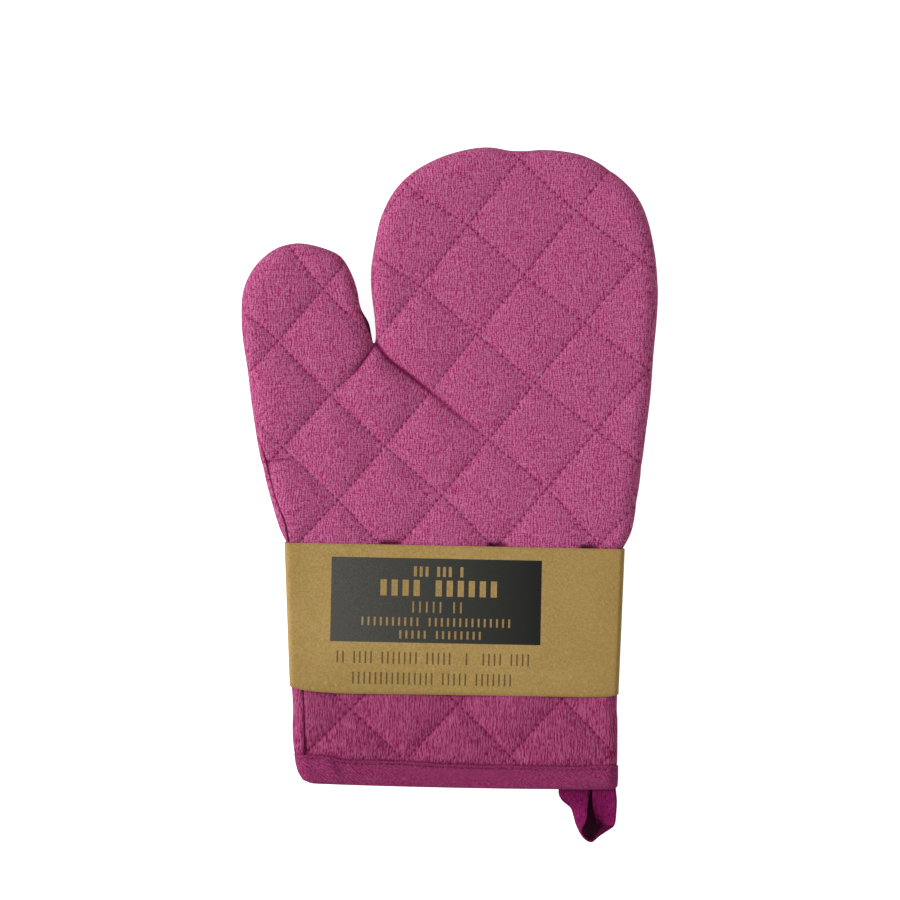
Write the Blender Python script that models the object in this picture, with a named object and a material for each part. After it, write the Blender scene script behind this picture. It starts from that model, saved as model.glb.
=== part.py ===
"""A pair of quilted oven mitts that lie one on the other, with a paper band round their cuffs.

X runs across the mitts, with the thumbs at -X. Y runs along them, from the cuffs to the fingertips at +Y.
Z is up from the surface that the pair lies on. Every length is in metres.

Each mitt is two quilted halves, sewn together along the side seam. A half is an outer cloth, a wadding and a
lining, and the cloths of a half share one net of points, so that they follow each other.
"""

import math

import bpy
import numpy as np
from mathutils import Vector
from mathutils.geometry import delaunay_2d_cdt

# The pair
MITT_WIDTH = 0.181
MITT_LENGTH = 0.279
LOOP_DROP = 0.0225
PAIR_SHIFT_ACROSS = 0.0008
PAIR_SHIFT_ALONG = 0.0007
CLOTH_GAP = 0.0003

# Layers of one half, counted from the middle plane of the mitt outwards
HAND_ROOM = 0.0064
LINING_WALL = 0.0006
OUTER_WALL = 0.0007
WADDING_UNDER_BINDING = 0.0003
WADDING_SEWN_AT_CUFF = 0.0004
WADDING_LOFT_AT_CUFF = 0.0008
WADDING_SEWN = 0.0008
WADDING_LOFT = 0.0025

# The rounded side, from the seam inwards
RIM = 0.006
RIM_ROUNDING = 0.012
SEAM_STEP = 0.011
SEAM_CURVE_STEPS = 8
WADDING_INSET = 0.002
WADDING_EDGE_LIFT = 0.0009
WADDING_EDGE_WALL = 0.0004
LINING_INSET = 0.0032
CROTCH_ROUND = 0.002
SHARPEST_CORNER_SHARE = 0.6

# Diamond quilting: the two steps from one crossing of the lines to the next
QUILT_UP_STEP = (0.02057, 0.02480)
QUILT_DOWN_STEP = (0.02485, -0.02144)
QUILT_CROSSING = (-0.0073, 0.1723)
QUILT_DIVISIONS = 3
QUILT_CLEARANCE_SHARE = 0.111
PUFF_ROUND_SHARE = 0.5

# The bound mouth of the cuff
MOUTH_RISE = 0.0026
BINDING_HEIGHT = 0.0104
BINDING_EXTRA_HEIGHT = 0.0026
BINDING_WALL = 0.0006
BINDING_INNER_HEIGHT = 0.0090
BINDING_LINE_GAP = 0.0005
MOUTH_STEPS = 10

# The hanging loop, a ribbon
RIBBON_WIDTH = 0.0125
RIBBON_WALL = 0.0011
LOOP_SPAN = 0.0255
LOOP_STATIONS = 26
LOOP_CURVE_STEPS = 6
LOOP_BEND = 0.0011
LOWER_LOOP_DROP = 0.0205

# The paper band
BAND_WIDTH_AT_TOP = 0.1475
BAND_WIDTH_AT_BOTTOM = 0.1423
BAND_HEIGHT = 0.0635
BAND_ABOVE_CUFF = 0.0410
BAND_SHIFT_AT_TOP = 0.0022
BAND_SHIFT_AT_BOTTOM = 0.0023
BAND_SLANT = 0.0022
BAND_PAPER = 0.0004
BAND_CORNER = 0.0070
BAND_CORNER_STEPS = 5
BAND_SIDE_GAP = 0.0009

# Where the cloth starts to rise again, above the binding and above the band
BINDING_RISE_START = 0.011
BINDING_RISE = 0.012
BAND_RISE_START = 0.001
BAND_RISE = 0.024

# The side seam above the band, as shares of the mitt's width, from its middle, and of the reach from the
# band's top edge to the fingertips: up round the fingers to the crotch, then round the thumb and down
HAND_SEAM_SHARES = [
    (0.430, 0.0375), (0.441, 0.0823), (0.4555, 0.1814), (0.4675, 0.2821), (0.4795, 0.3812),
    (0.489, 0.4964), (0.497, 0.5763), (0.500, 0.6451), (0.496, 0.7250), (0.484, 0.8001),
    (0.463, 0.8609), (0.429, 0.9105), (0.376, 0.9552), (0.314, 0.9840), (0.237, 0.9984),
    (0.167, 0.9960), (0.097, 1.0000), (0.030, 0.9920), (-0.0325, 0.9744), (-0.090, 0.9376),
    (-0.133, 0.8897), (-0.162, 0.8305), (-0.177, 0.7650), (-0.185, 0.6962), (-0.184, 0.6403),
    (-0.178, 0.5763), (-0.1815, 0.5187),
]
THUMB_SEAM_SHARES = [
    (-0.1815, 0.5187), (-0.2005, 0.5651), (-0.2115, 0.6003), (-0.220, 0.6451), (-0.2345, 0.6850),
    (-0.261, 0.7250), (-0.304, 0.7514), (-0.362, 0.7634), (-0.4145, 0.7530), (-0.458, 0.7234),
    (-0.484, 0.6858), (-0.4975, 0.6355), (-0.500, 0.5811), (-0.496, 0.5203), (-0.4855, 0.4516),
    (-0.4725, 0.3365), (-0.4555, 0.2318), (-0.4315, 0.1318), (-0.408, 0.0407),
]
# Where the two sides of the cuff lie across the mitt: at a share of the way from the binding to the band,
# under the binding's top and at the mouth
CUFF_RIGHT_SHARE = 0.398
CUFF_LEFT_SHARE = -0.3735
CUFF_POINT_SHARE = 0.354
BOUND_RIGHT_SHARE = 0.394
BOUND_LEFT_SHARE = -0.3675
MOUTH_RIGHT_SHARE = 0.3935
MOUTH_LEFT_SHARE = -0.3535

# The loop's middle line, as shares of its span, of its drop and, for its height, of the ribbon's width,
# with the direction that the ribbon's width takes there
LOOP_PATH_SHARES = [
    (-0.27, 0.00, 0.00), (-0.27, -0.18, 0.00), (-0.25, -0.37, 0.02), (-0.205, -0.55, 0.02),
    (-0.125, -0.72, -0.01), (0.015, -0.825, -0.02), (0.165, -0.78, -0.02), (0.255, -0.63, 0.00),
    (0.275, -0.45, 0.02), (0.26, -0.20, 0.00), (0.26, 0.00, 0.00),
]
LOOP_FACING_SHARES = [
    (1.0, 0.0, 0.0), (1.0, 0.0, 0.02), (0.98, -0.05, 0.18), (0.84, -0.18, 0.50),
    (0.50, -0.30, 0.80), (-0.05, -0.42, 0.90), (-0.55, -0.40, 0.73), (-0.86, -0.28, 0.42),
    (-0.98, -0.10, 0.14), (-1.0, 0.0, 0.02), (-1.0, 0.0, 0.0),
]
LOOP_PLACE_SHARE = 0.325

# Heights from the middle plane of a mitt to the faces of its layers
LINING_FACE = HAND_ROOM / 2
LINING_BACK = LINING_FACE + LINING_WALL
WADDING_FACE = LINING_BACK + CLOTH_GAP
FLAT_CLOTH = WADDING_FACE + WADDING_UNDER_BINDING + CLOTH_GAP + OUTER_WALL
HALF_MITT = WADDING_FACE + WADDING_LOFT + CLOTH_GAP + OUTER_WALL
BINDING_FACE = FLAT_CLOTH + CLOTH_GAP + BINDING_WALL

# Places of the mitts and the band
CUFF_Y = (LOOP_DROP - MITT_LENGTH) / 2
LOWER_MIDDLE = HALF_MITT
UPPER_MIDDLE = 3 * HALF_MITT + CLOTH_GAP
BAND_BOTTOM_Y = CUFF_Y + BAND_ABOVE_CUFF
BAND_TOP_Y = BAND_BOTTOM_Y + BAND_HEIGHT
BAND_TOP_Z = UPPER_MIDDLE + BINDING_FACE + CLOTH_GAP + BAND_PAPER


def linear(channel):
    """The linear value of one colour channel that is given from 0 to 255 as a screen shows it."""
    value = channel / 255
    return value / 12.92 if value <= 0.04045 else ((value + 0.055) / 1.055) ** 2.4


def material(name, colour, roughness):
    made = bpy.data.materials.new(name)
    made.use_nodes = True
    shader = made.node_tree.nodes["Principled BSDF"]
    shader.inputs["Base Color"].default_value = (*map(linear, colour), 1)
    shader.inputs["Roughness"].default_value = roughness
    shader.inputs["Metallic"].default_value = 0
    return made


def clear_scene():
    for old in list(bpy.data.objects):
        bpy.data.objects.remove(old, do_unlink=True)


def new_mesh(name, points, faces, finish):
    mesh = bpy.data.meshes.new(name)
    mesh.from_pydata([tuple(map(float, point)) for point in points], [], faces)
    mesh.materials.append(finish)
    mesh.validate()
    return mesh


def place(name, mesh, parent, location=(0, 0, 0)):
    piece = bpy.data.objects.new(name, mesh)
    piece.location = location
    piece.parent = parent
    bpy.context.scene.collection.objects.link(piece)
    return piece


def place_frame(name, location):
    """An empty at a moving piece's own origin, which carries the piece's solids."""
    frame = bpy.data.objects.new(name, None)
    frame.location = location
    bpy.context.scene.collection.objects.link(frame)
    return frame


def smooth_step(value):
    value = np.clip(value, 0, 1)
    return value * value * (3 - 2 * value)


def curve_through(points, steps):
    """A Catmull-Rom curve through the points, with the given number of steps from each to the next."""
    points = np.asarray(points, float)
    padded = np.vstack([2 * points[0] - points[1], points, 2 * points[-1] - points[-2]])
    before, start, end, after = padded[:-3], padded[1:-2], padded[2:-1], padded[3:]
    along = np.linspace(0, 1, steps, endpoint=False)[:, None, None]
    spans = 0.5 * (
        2 * start
        + (end - before) * along
        + (2 * before - 5 * start + 4 * end - after) * along**2
        + (3 * start - before - 3 * end + after) * along**3
    )
    return np.vstack([spans.transpose(1, 0, 2).reshape(-1, points.shape[1]), points[-1:]])


def spread_evenly(points, count):
    """The given number of points at equal distances along a line, ends included."""
    reach = np.concatenate([[0], np.cumsum(np.linalg.norm(np.diff(points, axis=0), axis=1))])
    wanted = np.linspace(0, reach[-1], count)
    return np.stack([np.interp(wanted, reach, column) for column in points.T], axis=1)


def even_steps(points, step):
    """A seam through the points, as points about one step apart."""
    line = curve_through(points, SEAM_CURVE_STEPS)
    length = np.linalg.norm(np.diff(line, axis=0), axis=1).sum()
    return spread_evenly(line, round(length / step) + 1)


def mouth_share(across):
    """From 0 at the right end of the mouth to 1 at its left end."""
    left, right = MOUTH_LEFT_SHARE * MITT_WIDTH, MOUTH_RIGHT_SHARE * MITT_WIDTH
    return np.clip((right - across) / (right - left), 0, 1)


def mouth_height(across):
    """Where the bound edge lies along the mitt: lowest at the right, and rising as a parabola to the left."""
    return MOUTH_RISE * mouth_share(across) ** 2


def binding_top(across):
    return BINDING_HEIGHT + (MOUTH_RISE + BINDING_EXTRA_HEIGHT) * mouth_share(across) ** 2


def cloth_end(across):
    """The raw edge of the cloths, inside the binding's fold."""
    return mouth_height(across) + BINDING_WALL + CLOTH_GAP


def held_by_band(side):
    """Where the band holds the seam of one side: at its bottom edge and just above its top edge."""
    slack = BAND_PAPER + BAND_SIDE_GAP
    low = BAND_SHIFT_AT_BOTTOM + side * (BAND_WIDTH_AT_BOTTOM / 2 - slack)
    high = BAND_SHIFT_AT_TOP + side * (BAND_WIDTH_AT_TOP / 2 - slack)
    top = BAND_ABOVE_CUFF + BAND_HEIGHT + BAND_RISE_START - side * BAND_SLANT / 2
    return np.array([(low, BAND_ABOVE_CUFF), (high, top)])


def cuff_side(side, cuff_share, bound_share, end_share):
    """The seam along one side of the cuff, from the mouth up to the band's top edge."""
    end_x, bound_x = end_share * MITT_WIDTH, bound_share * MITT_WIDTH
    end = (end_x, cloth_end(end_x))
    bound = (bound_x, binding_top(bound_x) + BINDING_LINE_GAP)
    cuff_y = BINDING_HEIGHT + CUFF_POINT_SHARE * (BAND_ABOVE_CUFF - BINDING_HEIGHT)
    cuff = (cuff_share * MITT_WIDTH, cuff_y)
    return np.vstack([[end], even_steps(np.vstack([[bound, cuff], held_by_band(side)]), SEAM_STEP)])


def seam_line():
    """The side seam from the mouth's right end, round the fingers and the thumb, to its left end."""
    reach = MITT_LENGTH - BAND_ABOVE_CUFF - BAND_HEIGHT
    size, start = (MITT_WIDTH, reach), (0, BAND_ABOVE_CUFF + BAND_HEIGHT)
    right = cuff_side(1, CUFF_RIGHT_SHARE, BOUND_RIGHT_SHARE, MOUTH_RIGHT_SHARE)
    left = cuff_side(-1, CUFF_LEFT_SHARE, BOUND_LEFT_SHARE, MOUTH_LEFT_SHARE)[::-1]
    hand = even_steps(np.vstack([right[-1:], np.array(HAND_SEAM_SHARES) * size + start]), SEAM_STEP)
    thumb = even_steps(np.vstack([np.array(THUMB_SEAM_SHARES) * size + start, left[:1]]), SEAM_STEP)
    crotch = hand[-1]
    beside = []
    for neighbour in (hand[-2], thumb[1]):
        away = neighbour - crotch
        beside.append(crotch + CROTCH_ROUND * away / np.linalg.norm(away))
    return np.vstack([right, hand[1:-1], beside[0], crotch, beside[1], thumb[1:-1], left])


def moved_inwards(line, distance):
    """Each point of the seam moved square to it, into the mitt. The mouth's two ends stay on the mouth."""
    along = np.diff(line, axis=0)
    along = along / np.linalg.norm(along, axis=1)[:, None]
    inwards = np.stack([-along[:, 1], along[:, 0]], axis=1)
    both = inwards[:-1] + inwards[1:]
    both = both / np.linalg.norm(both, axis=1)[:, None]
    slant = np.maximum((both * inwards[:-1]).sum(axis=1), SHARPEST_CORNER_SHARE)
    moved = line.copy()
    moved[1:-1] += distance * both / slant[:, None]
    moved[0, 0] -= distance
    moved[-1, 0] += distance
    moved[[0, -1], 1] = cloth_end(moved[[0, -1], 0])
    return moved


def distance_to(line, points):
    """The distance from each point to a line of straight pieces."""
    start, along = line[:-1], np.diff(line, axis=0)
    offset = points[:, None] - start[None]
    share = np.clip((offset * along).sum(-1) / (along * along).sum(-1), 0, 1)
    return np.linalg.norm(offset - share[..., None] * along, axis=-1).min(axis=1)


def inside(polygon, points):
    """Whether each point lies in the polygon: a line to its right crosses an odd number of sides."""
    first, second = polygon, np.roll(polygon, -1, axis=0)
    x, y = points[:, :1], points[:, 1:]
    rise = second[:, 1] - first[:, 1]
    rise = np.where(rise == 0, 1, rise)
    spans = (first[:, 1] > y) != (second[:, 1] > y)
    crossing = first[:, 0] + (y - first[:, 1]) * (second[:, 0] - first[:, 0]) / rise
    return ((x < crossing) & spans).sum(axis=1) % 2 == 1


def quilt_place(points):
    """A point's place among the quilting lines, which run where either number is a whole one."""
    steps = np.array([QUILT_UP_STEP, QUILT_DOWN_STEP]).T
    return (points - QUILT_CROSSING) @ np.linalg.inv(steps).T


def quilt_points(border):
    """The points that divide the diamonds, for the diamonds that lie within the border."""
    most = math.ceil(2 * MITT_LENGTH / math.hypot(*QUILT_UP_STEP)) * QUILT_DIVISIONS
    counts = np.arange(-most, most + 1) / QUILT_DIVISIONS
    up, down = np.meshgrid(counts, counts)
    points = up.reshape(-1, 1) * QUILT_UP_STEP + down.reshape(-1, 1) * QUILT_DOWN_STEP + QUILT_CROSSING
    points = points[inside(border, points)]
    closed = np.vstack([border, border[:1]])
    least = QUILT_CLEARANCE_SHARE * math.hypot(*QUILT_UP_STEP)
    return points[distance_to(closed, points) > least]


def triangles_within(points, sides, outline):
    """The triangles that join the points inside the outline and keep the given sides."""
    found = delaunay_2d_cdt([Vector(map(float, point)) for point in points], sides, [outline], 1, 0.0)
    origin = [sources[0] for sources in found[3]]
    return [tuple(origin[corner] for corner in face) for face in found[2]]


class Net:
    """The points of one half: the seam, a ring inside it, the mouth between its ends, and the quilting.

    fine joins all of them. plain leaves the quilting out, for a cloth that is flat inside the ring.
    """

    def __init__(self):
        self.seam = seam_line()
        ring = moved_inwards(self.seam, RIM)
        mouth_x = np.linspace(ring[-1, 0], ring[0, 0], MOUTH_STEPS + 1)[1:-1]
        mouth = np.stack([mouth_x, cloth_end(mouth_x)], axis=1)
        quilting = quilt_points(np.vstack([ring, mouth]))
        self.inner = np.vstack([ring, mouth, quilting])
        self.ring = ring

        seam_ids = list(range(len(self.seam)))
        ring_ids = [len(self.seam) + i for i in range(len(ring))]
        mouth_ids = [len(self.seam) + len(ring) + i for i in range(len(mouth))]
        self.outline = seam_ids + ring_ids[-1:] + mouth_ids + ring_ids[:1]
        sides = list(zip(ring_ids, ring_ids[1:]))
        points = np.vstack([self.seam, self.inner])
        self.fine = triangles_within(points, sides, self.outline)
        used = len(self.seam) + len(ring) + len(mouth)
        self.plain = triangles_within(points[:used], sides, self.outline)

    def points(self, inset):
        return np.vstack([moved_inwards(self.seam, inset) if inset else self.seam, self.inner])


def wadding_thickness(net, points):
    """How thick the wadding lies: thin on the quilting lines, full between them, less at cuff and rim."""
    place_up, place_down = quilt_place(points).T
    puff = np.abs(np.sin(math.pi * place_up) * np.sin(math.pi * place_down)) ** PUFF_ROUND_SHARE
    fullest = math.sin(math.pi / QUILT_DIVISIONS) ** (2 * PUFF_ROUND_SHARE)
    puff = np.minimum(puff / fullest, 1)
    at_cuff = WADDING_SEWN_AT_CUFF + (WADDING_LOFT_AT_CUFF - WADDING_SEWN_AT_CUFF) * puff
    at_hand = WADDING_SEWN + (WADDING_LOFT - WADDING_SEWN) * puff
    above_binding = points[:, 1] - binding_top(points[:, 0]) - BINDING_RISE_START
    above_band = points[:, 1] - (BAND_ABOVE_CUFF + BAND_HEIGHT) - BAND_RISE_START
    from_ring = distance_to(net.ring, points)
    thick = at_cuff + (at_hand - at_cuff) * smooth_step(above_band / BAND_RISE)
    eased = smooth_step(above_binding / BINDING_RISE) * smooth_step(from_ring / RIM_ROUNDING)
    return WADDING_UNDER_BINDING + (thick - WADDING_UNDER_BINDING) * eased


def half_layer(name, net, inset, near, far, edge, side, finish):
    """A cloth between two heights above the middle plane.

    near and far hold the heights of its two faces at each of the net's points, and edge the pair at the seam.
    side is 1 for the half above the middle plane and -1 for the one below.
    """
    flat = net.points(inset)
    count = len(flat)
    on_seam = np.arange(count) < len(net.seam)
    sheets = []
    for heights, at_seam in zip((near, far), edge):
        level = np.ptp(heights[~on_seam]) == 0
        sheets.append((np.where(on_seam, at_seam, heights), net.plain if level else net.fine))
    (low, low_net), (high, high_net) = sheets
    points = np.vstack([np.column_stack([flat, side * low]), np.column_stack([flat, side * high])])
    faces = [corners[::-1] for corners in low_net]
    faces += [tuple(count + corner for corner in corners) for corners in high_net]
    for here, there in zip(net.outline, net.outline[1:] + net.outline[:1]):
        faces.append((here, there, count + there, count + here))
    if side < 0:
        faces = [corners[::-1] for corners in faces]
    used = sorted({corner for corners in faces for corner in corners})
    renumbered = {old: new for new, old in enumerate(used)}
    faces = [tuple(renumbered[corner] for corner in corners) for corners in faces]
    return new_mesh(name, points[used], faces, finish)


def half_meshes(net, side_name, side, finishes):
    """The outer cloth, wadding and lining of one half of a mitt."""
    points = net.points(0)
    wadding_back = WADDING_FACE + wadding_thickness(net, points)
    outer_face = wadding_back + CLOTH_GAP
    level = np.ones(len(points))
    edge_gap = CLOTH_GAP / 2
    outer = half_layer(
        "outer_" + side_name, net, 0, outer_face, outer_face + OUTER_WALL,
        (edge_gap, edge_gap + OUTER_WALL), side, finishes["cloth"],
    )
    wadding = half_layer(
        "wadding_" + side_name, net, WADDING_INSET, WADDING_FACE * level, wadding_back,
        (WADDING_EDGE_LIFT, WADDING_EDGE_LIFT + WADDING_EDGE_WALL), side, finishes["wadding"],
    )
    lining = half_layer(
        "lining_" + side_name, net, LINING_INSET, LINING_FACE * level, LINING_BACK * level,
        (edge_gap, edge_gap + LINING_WALL), side, finishes["lining"],
    )
    return {"outer": outer, "wadding": wadding, "lining": lining}


def section(left, right, side_height, rim, flat_height):
    """A cuff's cross-section, going round from the upper right: a flat top and bottom, and sloping sides."""
    inner_left, inner_right = left + rim, right - rim
    across = np.linspace(inner_right, inner_left, MOUTH_STEPS + 1)
    top = np.stack([across, np.full(len(across), flat_height)], axis=1)
    left_side = [(left, side_height), (left, -side_height)]
    right_side = [(right, -side_height), (right, side_height)]
    return np.vstack([top, left_side, (top * (1, -1))[::-1], right_side])


def grown(polygon, distance):
    """A polygon that runs against the clock, with each side moved out by the distance."""
    along = np.roll(polygon, -1, axis=0) - polygon
    along = along / np.linalg.norm(along, axis=1)[:, None]
    after = np.stack([along[:, 1], -along[:, 0]], axis=1)
    before = np.roll(after, 1, axis=0)
    return polygon + distance * (before + after) / (1 + (before * after).sum(axis=1))[:, None]


def binding_mesh(net, finish):
    """A strip folded over the mouth's edge, all round: an outer leaf, the fold and an inner leaf."""

    def seam_at(height, end, bound):
        """How far across the seam's straight end lies where it reaches the height."""
        share = (height(end[0]) - end[1]) / (bound[1] - end[1])
        return end[0] + share * (bound[0] - end[0])

    def ring(distance, height, inner):
        """One closed line of the strip, at a height along the mitt and a distance outside what it covers."""
        right = seam_at(height, net.seam[0], net.seam[1])
        left = seam_at(height, net.seam[-1], net.seam[-2])
        if inner:
            left, right = left + LINING_INSET, right - LINING_INSET
            edge = section(left, right, CLOTH_GAP / 2, RIM - LINING_INSET, LINING_FACE)
        else:
            edge = section(left, right, CLOTH_GAP / 2 + OUTER_WALL, RIM, FLAT_CLOTH)
        edge = grown(edge, distance)
        return np.column_stack([edge[:, 0], height(edge[:, 0]), edge[:, 1]])

    def fold(across):
        return mouth_height(across) + BINDING_WALL

    def inner_top(across):
        return mouth_height(across) + BINDING_INNER_HEIGHT

    away, wall = CLOTH_GAP, CLOTH_GAP + BINDING_WALL
    rings = [
        ring(wall, mouth_height, False),
        ring(wall, binding_top, False),
        ring(away, binding_top, False),
        ring(away, fold, False),
        ring(-away, fold, True),
        ring(-away, inner_top, True),
        ring(-wall, inner_top, True),
        ring(-wall, mouth_height, True),
    ]
    count = len(rings[0])
    faces = []
    for first in range(len(rings)):
        second = (first + 1) % len(rings)
        for here in range(count):
            there = (here + 1) % count
            low, high = first * count, second * count
            faces.append((high + here, high + there, low + there, low + here))
    return new_mesh("cuff_binding", np.vstack(rings), faces, finish)


def loop_mesh(name, drop, finish):
    """A ribbon that goes down from the binding, turns on edge round its tip and comes back up beside itself.

    It bends about its origin, a little below the binding that it comes out of.
    """
    size = np.array([LOOP_SPAN, drop, RIBBON_WIDTH])
    start = (0, LOOP_BEND - CLOTH_GAP, 0)
    path = curve_through(np.array(LOOP_PATH_SHARES) * size + start, LOOP_CURVE_STEPS)
    facing = curve_through(LOOP_FACING_SHARES, LOOP_CURVE_STEPS)
    both = spread_evenly(np.hstack([path, facing * RIBBON_WIDTH]), LOOP_STATIONS)
    path, facing = both[:, :3], both[:, 3:]
    facing = facing / np.linalg.norm(facing, axis=1)[:, None]
    along = np.gradient(path, axis=0)
    along = along / np.linalg.norm(along, axis=1)[:, None]
    facing = facing - (facing * along).sum(axis=1)[:, None] * along
    facing = facing / np.linalg.norm(facing, axis=1)[:, None]
    outwards = np.cross(along, facing)
    half_width = facing * RIBBON_WIDTH / 2
    half_wall = outwards * RIBBON_WALL / 2
    corners = [
        path - half_width - half_wall, path + half_width - half_wall,
        path + half_width + half_wall, path - half_width + half_wall,
    ]
    points = np.stack(corners, axis=1).reshape(-1, 3)
    faces = [(3, 2, 1, 0)]
    for station in range(len(path) - 1):
        start = 4 * station
        for corner in range(4):
            after = (corner + 1) % 4
            faces.append((start + corner, start + after, start + 4 + after, start + 4 + corner))
    last = len(points) - 4
    faces.append((last, last + 1, last + 2, last + 3))
    return new_mesh(name, points, faces, finish)


def band_section(middle, width):
    """The band's outer cross-section: a rectangle with round corners, going round from the lower right."""
    half = width / 2
    turn = np.linspace(0, math.pi / 2, BAND_CORNER_STEPS + 1)
    corners = []
    for quarter, (x, z) in enumerate([(1, 0), (1, 1), (-1, 1), (-1, 0)]):
        angle = turn + (quarter - 1) * math.pi / 2
        centre_x = middle + x * (half - BAND_CORNER)
        centre_z = BAND_TOP_Z - BAND_CORNER if z else BAND_CORNER
        arc = BAND_CORNER * np.stack([np.cos(angle), np.sin(angle)], axis=1)
        corners.append(arc + (centre_x, centre_z))
    return np.vstack(corners)


def build_band(finish):
    """One sheet of paper bent round both cuffs. The wall grows inwards from the outer face."""
    frame = place_frame("paper_band_frame", (0, BAND_BOTTOM_Y, 0))
    lower = band_section(BAND_SHIFT_AT_BOTTOM, BAND_WIDTH_AT_BOTTOM)
    upper = band_section(BAND_SHIFT_AT_TOP, BAND_WIDTH_AT_TOP)
    rings = []
    for edge, height, width in [(lower, 0, BAND_WIDTH_AT_BOTTOM), (upper, BAND_HEIGHT, BAND_WIDTH_AT_TOP)]:
        rings.append(np.column_stack([edge[:, 0], height - BAND_SLANT * edge[:, 0] / width, edge[:, 1]]))
    count = len(lower)
    faces = []
    for here in range(count):
        there = (here + 1) % count
        faces.append((here, count + here, count + there, there))
    piece = place("paper_band", new_mesh("paper_band", np.vstack(rings), faces, finish), frame)
    wall = piece.modifiers.new("paper", "SOLIDIFY")
    wall.thickness = BAND_PAPER
    wall.offset = -1
    wall.use_even_offset = True


def build_mitt(name, middle, meshes, loop, shift_x, shift_y):
    frame = place_frame(name + "_frame", (shift_x, CUFF_Y + shift_y, middle))
    for side_name, layers in meshes["halves"].items():
        for layer_name, mesh in layers.items():
            place(f"{name}_{layer_name}_{side_name}", mesh, frame)
    place(name + "_cuff_binding", meshes["binding"], frame)
    across = LOOP_PLACE_SHARE * MITT_WIDTH
    place(name + "_hanging_loop", loop, frame, (across, mouth_height(across) - LOOP_BEND, 0))


def build():
    clear_scene()
    finishes = {
        "cloth": material("quilted_pink_cotton", (168, 77, 119), 0.9),
        "wadding": material("cotton_wadding", (232, 228, 218), 0.95),
        "lining": material("plain_cotton_lining", (150, 62, 104), 0.9),
        "binding": material("bias_binding_cotton", (132, 44, 88), 0.9),
        "ribbon": material("woven_ribbon", (108, 24, 72), 0.8),
        "paper": material("kraft_paper", (166, 137, 80), 0.85),
    }
    net = Net()
    meshes = {
        "halves": {
            "front": half_meshes(net, "front", 1, finishes),
            "back": half_meshes(net, "back", -1, finishes),
        },
        "binding": binding_mesh(net, finishes["binding"]),
    }
    upper_loop = loop_mesh("upper_hanging_loop", LOOP_DROP, finishes["ribbon"])
    lower_loop = loop_mesh("lower_hanging_loop", LOWER_LOOP_DROP, finishes["ribbon"])
    half_across, half_along = PAIR_SHIFT_ACROSS / 2, PAIR_SHIFT_ALONG
    build_mitt("lower_mitt", LOWER_MIDDLE, meshes, lower_loop, half_across, -half_along)
    build_mitt("upper_mitt", UPPER_MIDDLE, meshes, upper_loop, -half_across, 0)
    build_band(finishes["paper"])


build()
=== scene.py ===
"""The finish of a pair of quilted cotton oven mitts, one on the other, with a paper band round their cuffs.

X runs across the mitts with the thumbs at -X, Y runs along them to the fingertips at +Y, and Z is up. Lengths are
in metres. A place in a mitt is measured across from its middle, along from its cuff's lowest edge, and up from the
plane in which its two quilted halves meet.
"""

import math

import bpy
import numpy as np
from mathutils.geometry import delaunay_2d_cdt
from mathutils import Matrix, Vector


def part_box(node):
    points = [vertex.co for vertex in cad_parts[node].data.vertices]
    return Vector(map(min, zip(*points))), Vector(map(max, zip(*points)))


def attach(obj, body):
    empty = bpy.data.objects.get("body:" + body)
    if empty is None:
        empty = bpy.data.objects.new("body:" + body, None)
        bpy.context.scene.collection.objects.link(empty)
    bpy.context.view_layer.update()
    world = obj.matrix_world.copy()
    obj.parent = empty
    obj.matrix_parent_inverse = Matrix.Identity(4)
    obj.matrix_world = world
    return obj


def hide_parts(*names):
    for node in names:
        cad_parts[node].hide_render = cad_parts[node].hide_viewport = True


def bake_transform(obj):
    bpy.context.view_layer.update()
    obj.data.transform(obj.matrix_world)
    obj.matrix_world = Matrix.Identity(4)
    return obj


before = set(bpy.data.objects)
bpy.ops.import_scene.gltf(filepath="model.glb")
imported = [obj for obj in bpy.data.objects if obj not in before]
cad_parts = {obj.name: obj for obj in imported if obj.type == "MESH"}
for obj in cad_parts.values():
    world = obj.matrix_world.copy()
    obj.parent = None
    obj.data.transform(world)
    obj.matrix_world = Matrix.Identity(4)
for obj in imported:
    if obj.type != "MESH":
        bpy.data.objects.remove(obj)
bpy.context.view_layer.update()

# The photograph: its scale, the pixel over X = 0 and Y = 0, and its side
PIXELS_PER_METRE = 2298
ORIGIN_PIXEL = (449.5, 494.35)
PHOTO_SIDE = 900
CAMERA_HEIGHT = 2.6
SENSOR_MM = 36
SEAM_PLANE = 0.0231

# One mitt
MITT_WIDTH = 0.181
MITT_LENGTH = 0.279
UPPER_SHIFT_ACROSS = 0.0004
CUFF_LOWEST_Y = -0.12825

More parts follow.
